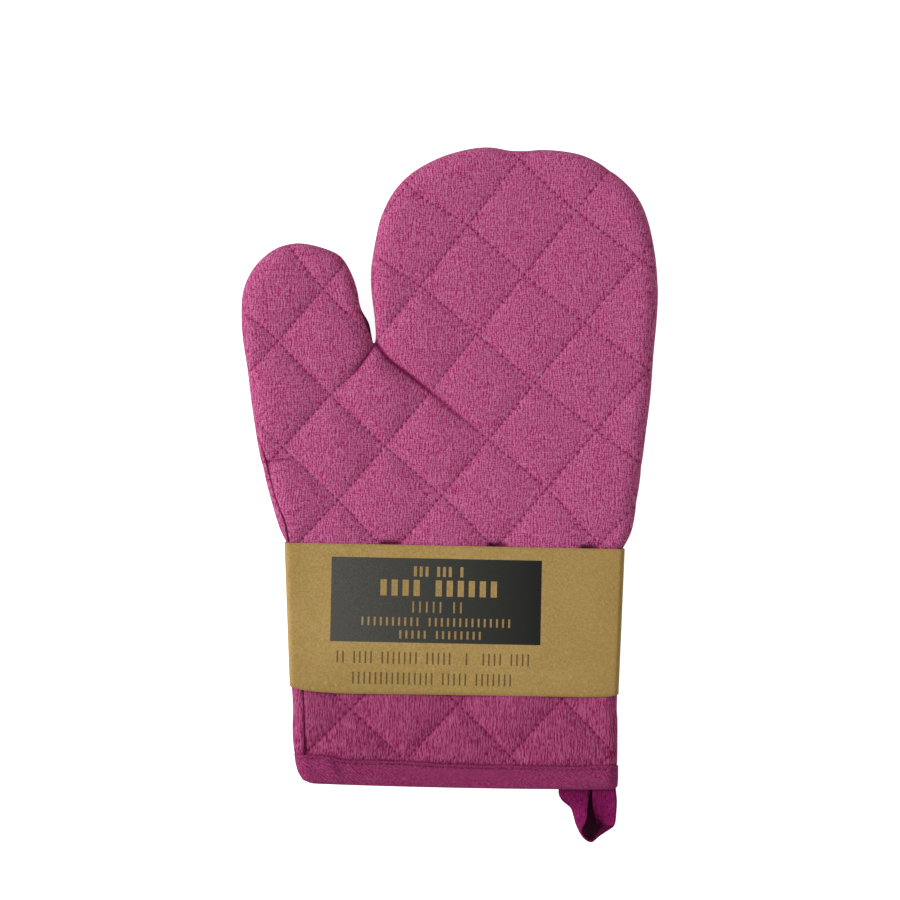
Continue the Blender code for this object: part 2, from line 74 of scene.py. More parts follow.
# The side seam, as shares of the mitt's width from its middle and of its length from the cuff: the right of the
# cuff, the fingers, the crotch and the thumb, and the left of the cuff
RIGHT_CUFF_SHARES = [
    (0.3990, 0.003), (0.4050, 0.039), (0.4060, 0.072), (0.4058, 0.110), (0.4050, 0.147), (0.4175, 0.374),
]
HAND_SHARES = [
    (0.4175, 0.374), (0.437, 0.398), (0.4475, 0.426), (0.461, 0.488), (0.473, 0.551), (0.485, 0.613),
    (0.4935, 0.685), (0.5005, 0.735), (0.503, 0.778), (0.4975, 0.828), (0.484, 0.875), (0.463, 0.913),
    (0.429, 0.943), (0.372, 0.972), (0.314, 0.990), (0.237, 0.997), (0.167, 0.9955), (0.097, 1.001),
    (0.040, 0.997), (-0.0255, 0.984), (-0.089, 0.961), (-0.133, 0.931), (-0.162, 0.894), (-0.177, 0.853),
    (-0.1865, 0.810), (-0.1855, 0.775), (-0.178, 0.735), (-0.1755, 0.710), (-0.1765, 0.699), (-0.1795, 0.6955),
    (-0.183, 0.6985), (-0.1865, 0.706), (-0.2005, 0.728), (-0.2125, 0.750), (-0.220, 0.778), (-0.2345, 0.805),
    (-0.258, 0.830), (-0.304, 0.8445), (-0.362, 0.8515), (-0.4110, 0.8445), (-0.4530, 0.825), (-0.4800, 0.801),
    (-0.4955, 0.772), (-0.4985, 0.738), (-0.4945, 0.700), (-0.4845, 0.657), (-0.4705, 0.585), (-0.4535, 0.5195),
    (-0.4295, 0.457), (-0.408, 0.410), (-0.3881, 0.382),
]
LEFT_CUFF_SHARES = [
    (-0.3881, 0.382), (-0.3838, 0.270), (-0.3805, 0.205), (-0.3785, 0.168), (-0.3758, 0.146), (-0.3745, 0.126),
    (-0.3755, 0.090), (-0.3710, 0.0577), (-0.358, 0.028), (-0.340, 0.0125),
]
CROTCH_SHARE = (-0.1795, 0.6955)
SEAM_STEP = 0.0009
CROTCH_STEP = 0.0003
CROTCH_REACH = 0.005
CLOSE_STEP = 0.0004
CLOSE_REACH = 0.0075
SIDE_ROWS = (-0.0007, -0.00035, 0.0, 0.00035, 0.0007)

# Heights from a mitt's middle plane, on the quilting lines and on the crowns between them
SEWN_AT_CUFF = 0.0044
CROWN_AT_CUFF = 0.0066
SEWN_AT_HAND = 0.0048
CROWN_AT_HAND = 0.0079
CLOTH_UNDER_BINDING = 0.0043
INNER_FACE = 0.0040
LINING_FACE = 0.0034
BAND_TOP_ALONG = 0.1045
BAND_RISE = 0.016
BINDING_PRESS = 0.0038

# The rounded side and the rolled edge at the seam
RIM_AT_HAND = 0.0095
RIM_AT_CUFF = 0.0062
RIM_POWER = 2.5
RING_DEPTHS = (0.0003, 0.0007, 0.0012, 0.0018, 0.0025, 0.0033, 0.0042, 0.0052)
LATTICE_DEPTH = 0.0058
EDGE_HEIGHT = 0.0007
ROLL_INSETS = (0.0001, 0.00035, 0.0008)
ROLL_HEIGHTS = (0.00042, 0.0002, 0.00012)
INNER_RINGS = (0.003, 0.0065)
INNER_CELL = 0.006
INNER_SLOPE = 0.0065
LINING_INSET = 0.0022
LINING_CELL = 0.0024
LINING_EDGE = 0.0001
LINING_CLOTH = 0.0004
SEAM_DENT = 0.00028
SEAM_DENT_REACH = 0.0022

# The lower mitt's seam lies a little inside the upper one's, except at the thumb beside the crotch
LOWER_INSET = 0.0010
LOWER_SHOW = 0.0018
LOWER_SHOW_PIXEL = (362, 322)
LOWER_SHOW_REACH = 0.0062

# The quilting: places among its lines, as cubic polynomials of the distances from a point in the palm
QUILT_MIDDLE_ALONG = 0.16
UP_PLACE = (-0.156, 20.803, 24.316, -18.3, 4.2, -7.5, -45.6, -206.2, 34.4, -94.1)
DOWN_PLACE = (0.441, 23.629, -19.437, -1.5, 9.9, 3.0, -96.6, -77.4, 33.8, -19.7)
QUILT_PITCH = 0.0325
# Where the sewing strays from those polynomials: pixels of each place's middle, its reach in pixels, and diamonds of
# either family
QUILT_STRAYS = [
    ((372, 240), 52, (0.20, 0)), ((415, 178), 48, (0.20, 0)), ((378, 552), 45, (0.08, 0)), ((488, 552), 45, (0.08, 0)),
    ((597, 543), 50, (0.14, 0)), ((238, 306), 26, (0.13, 0)), ((389, 358), 16, (0.035, 0)),
    ((400, 368), 36, (0.03, 0)), ((366, 355), 18, (0, -0.035)), ((353, 373), 17, (0, -0.05)),
]
STITCHES_A_DIAMOND = 11
LINES_EACH_WAY = 14
LINE_SOFTNESS = 0.0004
PILLOW_ROUNDNESS = 0.0050
WAVE_HEIGHT = 0.00022
RIPPLE_HEIGHT = 0.00010
SEARCH_ROUNDS = 12
FAR = 0.013
CELL = 0.006

# Mouth and binding
MOUTH_LEFT, MOUTH_RIGHT = -0.0615, 0.0717
MOUTH_RISE = 0.0026
MOUTH_EDGE = 0.0009
MOUTH_STEP = 0.001
BINDING_TOP_TABLE = [
    (-0.0675, 0.0156), (-0.0629, 0.0152), (-0.0516, 0.0144), (-0.0429, 0.0128), (-0.0229, 0.0125),
    (0.0006, 0.0110), (0.0228, 0.0105), (0.0507, 0.0100), (0.0729, 0.0104),
]
BOUND_LEFT_TABLE = [
    (0.0020, -0.0608), (0.0026, -0.0616), (0.0040, -0.0636), (0.0074, -0.0657), (0.0109, -0.0667),
    (0.0144, -0.0672), (0.0180, -0.0674),
]
BOUND_RIGHT_TABLE = [(0.0, 0.0730), (0.0006, 0.0735), (0.005, 0.0738), (0.012, 0.0738)]
BINDING_INNER = 0.0090
BINDING_CLOTH = 0.0005
BINDING_HEIGHT = 0.0052
BINDING_RIM = 0.0048
LOWER_NARROWER = 0.0012
# Its section: shares of the way from the mouth's edge to its top, and distances outwards, down the outside and then up
# the inside
BINDING_OUTSIDE = [
    (1.00, -0.0008), (1.005, -0.0002), (0.985, 0.0003), (0.955, 0.0005), (0.92, 0.0004), (0.888, 0.0001),
    (0.868, 0.0001), (0.845, 0.0003), (0.80, 0.0005), (0.70, 0.0006), (0.58, 0.0007), (0.44, 0.0007),
    (0.30, 0.0006), (0.18, 0.0003), (0.09, -0.0003), (0.03, -0.0010), (0.0, -0.0017),
]
BINDING_INSIDE = [(0.01, -0.0024), (0.06, -0.0029), (0.16, -0.0032), (0.45, -0.0033), (0.8, -0.0033)]
BINDING_STITCH_DROP = 0.0015
BINDING_STITCH_LIFT = 0.0004
BINDING_RUFFLE = 0.00018
BINDING_CREASE_PIXELS = [(329.4, 758.9), (336.3, 776)]
BINDING_CREASE_WIDTHS = (0.0050, 0.0019)
BINDING_CREASE_HEIGHT = 0.0011

# How full the pillows are: most round a place beside the crotch, and under the band and below it
FULL_AT_PIXEL = (350, 410)
FULL_REACH = 0.062
LEAST_FULL_SHARE = 0.34
CUFF_FULL_SHARE = 1.0

# Folds that the photograph shows on the upper mitt's front. Two lie in quilting lines that leave the crotch: the
# family whose numbers run along the line, the line's own number, rows of places along it and depths there, and the
# fold's widths above and below the line.
CROTCH_FOLD = (
    1, 0, [(-1.03, 0.0), (-0.98, 0.0020), (-0.7, 0.0022), (-0.3, 0.0018), (0.0, 0.0012), (0.6, 0.0006), (1.1, 0.0)],
    (0.0009, 0.0045),
)
# The crotch fold's painted shade: its breadths above and below the line, and the depth at which it is darkest
CROTCH_LINE = (0.0009, 0.0014)
CROTCH_DARKEST = 0.0014
CROTCH_LEAN = (-0.00022, -0.00024)
CROTCH_LEAN_REACH = 0.0026
THUMB_FOLD = (
    0, -1, [(-0.9, 0.0), (-0.6, 0.0003), (-0.42, 0.0010), (-0.2, 0.0013), (0.0, 0.0012), (0.12, 0.0)],
    (0.0008, 0.0016),
)
# The thumb fold's painted shade: its breadth, and the depth at which it is darkest
THUMB_LINE = 0.0006
THUMB_DARKEST = 0.0009
# The others: pixels along each, depths there, its widths to the left and right, and the breadth of its painted shade
# line and the depth at which that shade is darkest. Three lie at the band's upper edge, one is pinched, and the side
# seam is last.
SIDE_SEAM = [(253, 424), (261, 444), (268, 468), (274, 492), (279, 507), (289, 542), (303.2, 690), (305, 760)]
BAND_GAPS = [
    [(380, 543.0), (387, 543.2), (397, 543.5), (404, 543.6)], [(486, 545.2), (493, 545.3), (502, 545.6), (510, 545.7)],
    [(578, 547.2), (586, 547.3), (593, 547.5), (601, 547.6)],
]
FOLDS = [(path, (0.0, 0.0024, 0.0024, 0.0), (0.0010, 0.0012), 0.0008, 0.0010) for path in BAND_GAPS] + [
    ([(262, 459), (271, 461), (284, 459), (297, 460)], (0.0, 0.0007, 0.0008, 0.0), (0.0012, 0.0016), 0.0006, 0.0010),
    (SIDE_SEAM, (0.0, 0.0004, 0.0006, 0.0007, 0.0009, 0.0010, 0.0009, 0.0009), (0.0004, 0.0003), 0.00036, 0.0005),
]
FOLD_POWER = 1.4
FOLDS_FROM_SEAM = 0.0014
SPREAD_INSIDE = 0.006
SIDE_STRIP_LIFT = 0.0006
STRIP_PILLOW = 0.55
SEAM_SCALLOP = 0.00014
STITCH_SPACING = 0.0027
THREAD_RADIUS = 0.00016

# The floor, the lamp and the light all round
FLOOR_SIDE = 3.0
FLOOR_LEVEL = -0.0003
FLOOR_GLOW = 0.90
AMBIENT = 0.5
KEY_STRENGTH = 2.75
KEY_WIDTH = 26
KEY_TURN = (-6, -56, 0)


def linear(channel):
    """The linear value of one colour channel that is given from 0 to 255 as a screen shows it."""
    value = channel / 255
    return value / 12.92 if value <= 0.04045 else ((value + 0.055) / 1.055) ** 2.4


def colour(red, green, blue):
    return (linear(red), linear(green), linear(blue), 1)


def smooth_step(value):
    value = np.clip(value, 0, 1)
    return value * value * (3 - 2 * value)


def bell(value):
    """1 at 0, and less on both sides as a Gauss curve."""
    return np.exp(-(value**2))


def fading(away, width):
    """A fold's share of its depth at a distance from its line: 1 there, and falling over its width."""
    return np.exp(-((np.abs(away) / width) ** FOLD_POWER))


def unit(rows):
    return rows / np.linalg.norm(rows, axis=1)[:, None]


def grid_points(across, along):
    """Every pair of a place across and a place along, as rows."""
    return np.stack([part.ravel() for part in np.meshgrid(across, along)], axis=1)


def in_mitt(pixels):
    """Places in the upper mitt of pixels of the photograph."""
    pixels = np.asarray(pixels, float)
    across = (pixels[:, 0] - ORIGIN_PIXEL[0]) / PIXELS_PER_METRE + UPPER_SHIFT_ACROSS
    along = (ORIGIN_PIXEL[1] - pixels[:, 1]) / PIXELS_PER_METRE - CUFF_LOWEST_Y
    return np.stack([across, along], axis=1)


def curve_through(points, steps):
    """A Catmull-Rom curve through the points, with the given number of steps from each to the next."""
    points = np.asarray(points, float)
    padded = np.vstack([2 * points[0] - points[1], points, 2 * points[-1] - points[-2]])
    before, start, end, after = padded[:-3], padded[1:-2], padded[2:-1], padded[3:]
    along = np.linspace(0, 1, steps, endpoint=False)[:, None, None]
    spans = 0.5 * (
        2 * start
        + (end - before) * along
        + (2 * before - 5 * start + 4 * end - after) * along**2
        + (3 * start - before - 3 * end + after) * along**3
    )
    return np.vstack([spans.transpose(1, 0, 2).reshape(-1, points.shape[1]), points[-1:]])


def reach_along(line):
    """How far along a line each of its points lies."""
    return np.concatenate([[0], np.cumsum(np.linalg.norm(np.diff(line, axis=0), axis=1))])


def resampled(line, reach, wanted):
    """The line's points where its reach has the wanted values."""
    return np.column_stack([np.interp(wanted, reach, column) for column in line.T])


def stepped(line, spacing):
    """Points along a line, each as far from the next as spacing, a function of the place, says."""
    counts = np.linalg.norm(np.diff(line, axis=0), axis=1) / spacing((line[1:] + line[:-1]) / 2)
    reach = np.concatenate([[0], np.cumsum(counts)])
    return resampled(line, reach, np.linspace(0, reach[-1], round(reach[-1]) + 1))


def nearest_on(line, points):
    """For each point, the distance to a line, the share along it, and the side, 1 on the left and -1 on the right.

    The points are taken a small square at a time, with only the pieces of the line that can be nearest there. In a
    square that is far from the line, every point gets the distance of the square's middle.
    """
    start, along = line[:-1], np.diff(line, axis=0)
    length = np.linalg.norm(along, axis=1)
    reach = np.cumsum(length) - length
    found = np.zeros((3, len(points)))
    square = np.floor(points / CELL).astype(int) @ (100000, 1)
    order = np.argsort(square, kind="stable")
    for chosen in np.split(order, np.flatnonzero(np.diff(square[order])) + 1):
        some = points[chosen]
        middle = some.mean(axis=0)
        spread = np.linalg.norm(some - middle, axis=1).max()
        away = np.linalg.norm(start - middle, axis=1)
        if away.min() > FAR + spread:
            found[0, chosen] = away.min()
            continue
        near = np.flatnonzero(away <= away.min() + 2 * (spread + length.max()))
        offset = some[:, None] - start[None, near]
        share = np.clip((offset * along[near]).sum(-1) / length[near] ** 2, 0, 1)
        away = np.linalg.norm(offset - share[..., None] * along[near], axis=-1)
        best = away.argmin(axis=1)
        row, piece = np.arange(len(some)), near[best]
        turn = along[piece, 0] * offset[row, best, 1] - along[piece, 1] * offset[row, best, 0]
        found[0, chosen] = away[row, best]
        found[1, chosen] = (reach[piece] + share[row, best] * length[piece]) / length.sum()
        found[2, chosen] = np.sign(turn)
    return found


def mouth_height(across):
    """The bound edge: lowest at the right, and rising as a parabola to the left."""
    return MOUTH_RISE * np.clip((MOUTH_RIGHT - across) / (MOUTH_RIGHT - MOUTH_LEFT), 0, 1) ** 2


def binding_top(across):
    return table_at(curve_through(BINDING_TOP_TABLE, 6), across)


def seam_line():
    """The side seam from the mouth's right end, round the fingers and the thumb, to its left end."""
    size = (MITT_WIDTH, MITT_LENGTH)
    crotch = np.array(CROTCH_SHARE) * size
    shares = (RIGHT_CUFF_SHARES, HAND_SHARES, LEFT_CUFF_SHARES)
    parts = [curve_through(np.array(part) * size, 8) for part in shares]
    line = np.vstack([parts[0], parts[1][1:], parts[2][1:]])

    def spacing(places):
        near = np.linalg.norm(places - crotch, axis=1) < CROTCH_REACH
        return np.where(near, CROTCH_STEP, SEAM_STEP)

    return stepped(line, spacing)


def moved_inwards(line, distance):
    """Each point of the seam moved square to it, into the mitt, by one distance or by its own. The ends stay level."""
    along = unit(np.gradient(line, axis=0))
    inwards = np.column_stack([-along[:, 1], along[:, 0]])
    inwards[[0, -1]] = (-1, 0), (1, 0)
    return line + np.reshape(distance, (-1, 1)) * inwards


def inside(polygon, points):
    """Whether each point lies in the polygon: a line to its right crosses an odd number of sides."""
    first, second = polygon, np.roll(polygon, -1, axis=0)
    rise = second[:, 1] - first[:, 1]
    rise = np.where(rise == 0, 1, rise)
    found = []
    for some in np.array_split(points, 16):
        x, y = some[:, :1], some[:, 1:]
        spans = (first[:, 1] > y) != (second[:, 1] > y)
        crossing = first[:, 0] + (y - first[:, 1]) * (second[:, 0] - first[:, 0]) / rise
        found.append(((x < crossing) & spans).sum(axis=1) % 2 == 1)
    return np.concatenate(found)


def grid_within(outline, cell):
    """The points of a square grid that lie inside an outline."""
    steps = np.arange(-0.1, 0.3, cell)
    grid = grid_points(steps, steps)
    return grid[inside(outline, grid)]


def triangles_within(points, rim_count):
    """The triangles that join the points inside the outline, which is the first rim_count of them."""
    found = delaunay_2d_cdt(points.tolist(), [], [list(range(rim_count))], 1, 0.0)
    return np.array(found[3]).ravel()[np.array(found[2])]


def quilt_place(points):
    """A point's place among the two families of quilting lines, which run where either number is whole."""
    x, y = points[:, 0], points[:, 1] - QUILT_MIDDLE_ALONG
    powers = [x ** (degree - k) * y**k for degree in range(4) for k in range(degree + 1)]
    places = np.stack(powers, axis=1) @ np.array([UP_PLACE, DOWN_PLACE]).T
    for pixel, reach, diamonds in QUILT_STRAYS:
        away = np.linalg.norm(points - in_mitt([pixel]), axis=1) * PIXELS_PER_METRE / reach
        places += bell(away[:, None]) * diamonds
    return places


def from_quilt_place(places):
    """The points at the given places among the quilting lines, found by repeated linear steps."""
    slopes = np.array([UP_PLACE[1:3], DOWN_PLACE[1:3]])
    back = np.linalg.inv(slopes).T
    points = places @ back + (0, QUILT_MIDDLE_ALONG)
    for _ in range(SEARCH_ROUNDS):
        step = np.clip((places - quilt_place(points)) @ back, -QUILT_PITCH, QUILT_PITCH)
        points = points + step
    points[np.abs(places - quilt_place(points)).max(axis=1) > 0.001] = np.nan
    return points


class Half:
    """One quilted half of a mitt, as it lies: its net of points, and the height of its cloth over them.

    side is 1 for the half above the mitt's middle plane and -1 for the one below. shift moves the quilting, in
    diamonds. divisions is how many steps of the net cross a diamond. folds is whether it has the photographed folds.
    """

    def __init__(self, mitt, name, side, shift, divisions, phase, folds):
        self.mitt, self.name, self.side, self.phase, self.folds = mitt, name, side, phase, folds
        self.shift = np.array(shift)
        self.divisions = divisions
        low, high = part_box(f"{mitt}_outer_{name}")
        bound_low, bound_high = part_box(f"{mitt}_cuff_binding")
        self.origin = np.array([(low.x + high.x) / 2, bound_low.y, (bound_low.z + bound_high.z) / 2])
        seam = seam_line()
        inset = SEAM_DENT * bell(self.line_distances(self.place(seam)).min(axis=1) / SEAM_DENT_REACH)
        if mitt == "lower_mitt":
            shown = np.linalg.norm(seam - in_mitt([LOWER_SHOW_PIXEL]), axis=1) / LOWER_SHOW_REACH
            inset = LOWER_INSET - LOWER_SHOW * bell(shown)
        self.seam = moved_inwards(seam, inset)
        steps = round((self.seam[0, 0] - self.seam[-1, 0]) / MOUTH_STEP)
        mouth_x = np.linspace(self.seam[-1, 0], self.seam[0, 0], steps)[1:-1]
        self.mouth = np.column_stack([mouth_x, mouth_height(mouth_x) + MOUTH_EDGE])
        self.rim = np.vstack([self.seam, self.mouth])

    def place(self, points):
        return quilt_place(points) + self.shift

    def depth(self, points):
        return nearest_on(self.seam, points)[0]

    def line_distances(self, places):
        """The distances to the nearest line of each family."""
        return np.abs(places - np.round(places)) * QUILT_PITCH

    def above_mouth(self, points):
        return points[:, 1] > mouth_height(points[:, 0]) + MOUTH_EDGE + MOUTH_STEP / 2

    def net(self):
        """The rim, then rings of points inside it, then points on a grid that follows the quilting lines.

        Steps from one line to the next are shortest beside the lines, by a sine of the place between them.
        """
        rings = []
        for depth in RING_DEPTHS:
            ring = moved_inwards(self.seam, depth)[1:-1]
            rings.append(ring[self.above_mouth(ring) & (self.depth(ring) > 0.985 * depth)])
        corners = self.place(grid_points((-0.5, 0.5), (0, 1)) * (MITT_WIDTH, MITT_LENGTH))
        low, high = np.floor(corners.min(axis=0)), np.ceil(corners.max(axis=0))
        steps = [np.arange(0, (b - a) * self.divisions + 1) / self.divisions + a for a, b in zip(low, high)]
        steps = [step - 0.5 * np.sin(2 * math.pi * step) / (2 * math.pi) for step in steps]
        lattice = from_quilt_place(grid_points(*steps) - self.shift)
        lattice = lattice[(np.abs(lattice) < (MITT_WIDTH / 2, MITT_LENGTH)).all(axis=1)]
        lattice = lattice[inside(self.rim, lattice) & self.above_mouth(lattice)]
        net = np.vstack([*rings, lattice[self.depth(lattice) > LATTICE_DEPTH]])
        return np.vstack([self.rim, self.closer(net) if self.folds else net])

    def closer(self, net):
        """The net with a close square grid round the crotch, and with rows of points beside the side seam's line."""
        crotch = np.array(CROTCH_SHARE) * (MITT_WIDTH, MITT_LENGTH)
        steps = np.arange(-CLOSE_REACH, CLOSE_REACH, CLOSE_STEP)
        grid = crotch + grid_points(steps, steps)
        grid = grid[(np.linalg.norm(grid - crotch, axis=1) < CLOSE_REACH) & inside(self.rim, grid)]
        grid = grid[self.depth(grid) > 1.5 * CLOSE_STEP]
        far = np.linalg.norm(net - crotch, axis=1) > CLOSE_REACH + CLOSE_STEP / 2
        net = net[far | (self.depth(net) < CLOSE_STEP)]
        line = stepped(curve_through(in_mitt(SIDE_SEAM), 8), lambda places: np.full(len(places), SEAM_STEP))
        rows = np.vstack([moved_inwards(line, aside)[1:-1] for aside in SIDE_ROWS])
        rows = rows[self.above_mouth(rows) & inside(self.rim, rows) & (self.depth(rows) > 2 * CLOSE_STEP)]
        net = net[nearest_on(line, net)[0] > SIDE_ROWS[-1] + CLOSE_STEP / 2]
        return np.vstack([net, grid, rows])

    def line_fold(self, places, along, line, depths, widths, spread=0.0):
        """The fold in one quilting line: how deep it lies, the distance aside, and its depth on the line.

        along is the family whose numbers run along the line, and line is its own number in the other family.
        """
        depth = table_at(depths, places[:, along])
        aside = (places[:, 1 - along] - line) * QUILT_PITCH
        return depth * fading(aside, np.where(aside > 0, *widths) + spread), aside, depth

    def sunk(self, points, spread=0.0):
        """How far the folds press the cloth down, how much painted shade darkens them, and how far the piped strip is
        in.

        spread makes the folds broader, for the cloths below.
        """
        if not self.folds:
            return np.zeros((3, len(points)))
        places = self.place(points)
        total, aside, depth = self.line_fold(places, *CROTCH_FOLD, spread)
        # Painted shade along the crotch and thumb folds, darkest where they lie deepest
        painted_crease_shade = bell(aside / np.where(aside > 0, *CROTCH_LINE)) * np.clip(depth / CROTCH_DARKEST, 0, 1)
        sunk, aside, depth = self.line_fold(places, *THUMB_FOLD, spread)
        total = np.maximum(total, sunk)
        painted_crease_shade = np.maximum(painted_crease_shade, bell(aside / THUMB_LINE) * np.clip(sunk / THUMB_DARKEST, 0, 1))
        above_binding = smooth_step((points[:, 1] - binding_top(points[:, 0]) + 0.0003) / 0.002)
        scallop = SEAM_SCALLOP * np.cos(points[:, 1] * 2 * math.pi / STITCH_SPACING)
        for path, depths, widths, breadth, darkest in FOLDS:
            line = curve_through(in_mitt(path), 4)
            away, share, side = nearest_on(line, points)
            depth = np.interp(share, nearest_on(line, in_mitt(path))[1], depths)
            sunk = depth * fading(away, np.where(side > 0, *widths) + spread)
            total = np.maximum(total, sunk * above_binding)
            # Painted shade along each fold's line, scalloped by the stitches
            dark = bell((away * side + scallop) / breadth) * np.clip(sunk / darkest, 0, 1)
            painted_crease_shade = np.maximum(painted_crease_shade, dark * above_binding)
        along = (points[:, 1] > 0.013) & (points[:, 1] < in_mitt([SIDE_SEAM[0]])[0, 1])
        strip = smooth_step(-away * side / 0.0004) * along * (points[:, 0] < -0.05)
        return total, painted_crease_shade, strip

    def height(self, points):
        """The cloth's height over each point, and the values that its colour follows.

        It is a pillow between the quilting lines, pressed at the cuff and at the binding, times a rounded rim
        beside the seam, less the folds.
        """
        depth = self.depth(points)
        places = self.place(points)
        near = self.line_distances(places)
        eased = np.sqrt(near**2 + LINE_SOFTNESS**2) - LINE_SOFTNESS
        pillow = (1 - np.exp(-eased / PILLOW_ROUNDNESS)).prod(axis=1)
        sunk, painted_crease_shade, strip = self.sunk(points)
        pillow = pillow * (1 - strip) + STRIP_PILLOW * strip
        hand = smooth_step((points[:, 1] - BAND_TOP_ALONG + 0.002) / BAND_RISE)
        sewn = SEWN_AT_CUFF + (SEWN_AT_HAND - SEWN_AT_CUFF) * hand
        crown = CROWN_AT_CUFF + (CROWN_AT_HAND - CROWN_AT_CUFF) * hand
        waves = np.sin(points @ (70, 45) + self.phase) * np.sin(points @ (-38, 95) + 2 * self.phase)
        ripples = np.sin(points @ (260, 60) + 3 * self.phase + 2 * waves) * np.sin(points @ (45, 210))
        full = bell(np.linalg.norm(points - in_mitt([FULL_AT_PIXEL]), axis=1) / FULL_REACH)
        full = LEAST_FULL_SHARE + (1 - LEAST_FULL_SHARE) * full
        full = full * hand + CUFF_FULL_SHARE * (1 - hand)
        middle = sewn + (crown - sewn) * 0.8
        top = middle + (sewn + (crown - sewn) * pillow - middle) * full
        top = top + (WAVE_HEIGHT * waves + RIPPLE_HEIGHT * ripples) * (0.25 + 0.75 * hand) * (0.3 + 0.7 * pillow)
        above = np.clip((points[:, 1] - binding_top(points[:, 0])) / BINDING_PRESS, 0, 1)
        top = CLOTH_UNDER_BINDING + (top - CLOTH_UNDER_BINDING) * (1 - (1 - above) ** 2)
        rim = RIM_AT_CUFF + (RIM_AT_HAND - RIM_AT_CUFF) * hand
        share = np.clip(depth / rim, 0, 1)
        rounded = (1 - (1 - share) ** RIM_POWER) ** (1 / RIM_POWER)
        height = EDGE_HEIGHT + (top - EDGE_HEIGHT) * rounded + SIDE_STRIP_LIFT * strip * smooth_step(depth / 0.002)
        clear = smooth_step(depth / FOLDS_FROM_SEAM)
        values = {
            "quilt_up": places[:, 0],
            "quilt_down": places[:, 1],
            # Painted shade along the crease at the cloth's foot, where the binding's top meets it
            "painted_crease_shade": np.maximum(painted_crease_shade, 0.8 * bell(above * BINDING_PRESS / 0.0006) * (above < 1)),
            "plain": np.maximum(strip, 1 - clear),
            # How far the cuff's longer yarns and its painted shade reach
            "cuff": 1 - smooth_step((points[:, 1] - 0.012) / 0.095),
        }
        return np.maximum(height - sunk * clear, EDGE_HEIGHT / 2), values

    def leaning(self, points):
        """The points, with the cloth's edge above the crotch fold leaned out over it."""
        if not self.folds:
            return points
        sunk, aside, most = self.line_fold(self.place(points), *CROTCH_FOLD)
        deepest = max(depth for place, depth in CROTCH_FOLD[2])
        out = (aside > 0) * np.exp(-aside.clip(0) / CROTCH_LEAN_REACH) * (most - sunk) / deepest
        out = out * smooth_step(self.depth(points) / 0.0010)
        return points + out[:, None] * np.array(CROTCH_LEAN)

    def lifted(self, points, height):
        """Places of the mitt in the object's frame."""
        return np.column_stack([points, self.side * height]) + self.origin


def mesh_piece(name, points, face_sets, finish, body, values=None, wall=0.0):
    """A smooth mesh from arrays of points and of faces' corners.

    It rides on a body if one is given. values are named floats, and wall is a thickness to give to it, inwards.
    """
    mesh = bpy.data.meshes.new(name)
    face_sets = [faces for faces in face_sets if len(faces)]
    corners = np.concatenate([faces.ravel() for faces in face_sets]).astype(np.int32)
    sizes = np.concatenate([np.full(len(faces), faces.shape[1]) for faces in face_sets])
    mesh.vertices.add(len(points))
    mesh.vertices.foreach_set("co", np.ascontiguousarray(points, np.float32).ravel())
    mesh.loops.add(len(corners))
    mesh.loops.foreach_set("vertex_index", corners)
    mesh.polygons.add(len(sizes))
    mesh.polygons.foreach_set("loop_start", (np.cumsum(sizes) - sizes).astype(np.int32))
    mesh.update(calc_edges=True)
    mesh.validate()
    mesh.shade_smooth()
    mesh.materials.append(finish)
    for key, column in (values or {}).items():
        mesh.attributes.new(key, "FLOAT", "POINT").data.foreach_set("value", column.astype(np.float32))
    piece = placed(name, mesh)
    if body:
        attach(piece, body)
    if wall:
        solid = piece.modifiers.new("wall", "SOLIDIFY")
        solid.thickness = wall
        solid.offset = -1
    return piece


def turned(faces, side):
    return faces if side > 0 else faces[:, ::-1]


def ring_strip(first, second):
    """Quads between two closed rows of point numbers."""
    return np.stack([first, np.roll(first, -1), np.roll(second, -1), second], axis=1)


def quilted_piece(half, finish):
    """Outer cloth and wadding of a half: the quilted face, the edge rolled in at the seam, and a plain inner face.

    Rows of the rim's points go down the rolled edge at the seam. At the mouth they go evenly to the inner face.
    """
    flat = half.net()
    height, values = half.height(flat)
    rim = len(half.rim)
    points, heights = [half.leaning(flat)], [height]
    on_seam = np.arange(rim) < len(half.seam)
    inner_at_rim = np.where(on_seam, ROLL_HEIGHTS[-1], inner_height(half, half.rim))
    for step, (inset, level) in enumerate(zip(ROLL_INSETS, ROLL_HEIGHTS), 1):
        points.append(np.vstack([moved_inwards(half.seam, inset), half.mouth]))
        at_mouth = height[:rim] + (inner_at_rim - height[:rim]) * step / len(ROLL_INSETS)
        heights.append(np.where(on_seam, level, at_mouth))
    starts = [0, *(len(flat) + rim * step for step in range(len(ROLL_INSETS)))]
    rows = [start + np.arange(rim) for start in starts]
    inner = [points[-1]]
    for depth in INNER_RINGS:
        ring = moved_inwards(half.seam, depth)[4:-4:3]
        inner.append(ring[half.depth(ring) > 0.97 * depth])
    grid = grid_within(half.rim, INNER_CELL)
    inner = np.vstack([*inner, grid[(half.depth(grid) > 0.009) & (grid[:, 1] > 0.006)]])
    points.append(inner[rim:])
    heights.append(inner_height(half, inner[rim:]))
    faces = [turned(triangles_within(flat, rim), half.side)]
    faces += [turned(ring_strip(below, above), half.side) for below, above in zip(rows[1:], rows)]
    faces.append(turned(triangles_within(inner, rim) + starts[-1], -half.side))
    points, heights = np.vstack(points), np.concatenate(heights)
    rolled = len(points) - len(flat)
    values = {key: np.concatenate([column, np.resize(column[:rim], rolled)]) for key, column in values.items()}
    name = f"{half.mitt}_quilted_{half.name}"
    piece = mesh_piece(name, half.lifted(points, heights), faces, finish, half.mitt, values)
    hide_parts(f"{half.mitt}_outer_{half.name}", f"{half.mitt}_wadding_{half.name}")


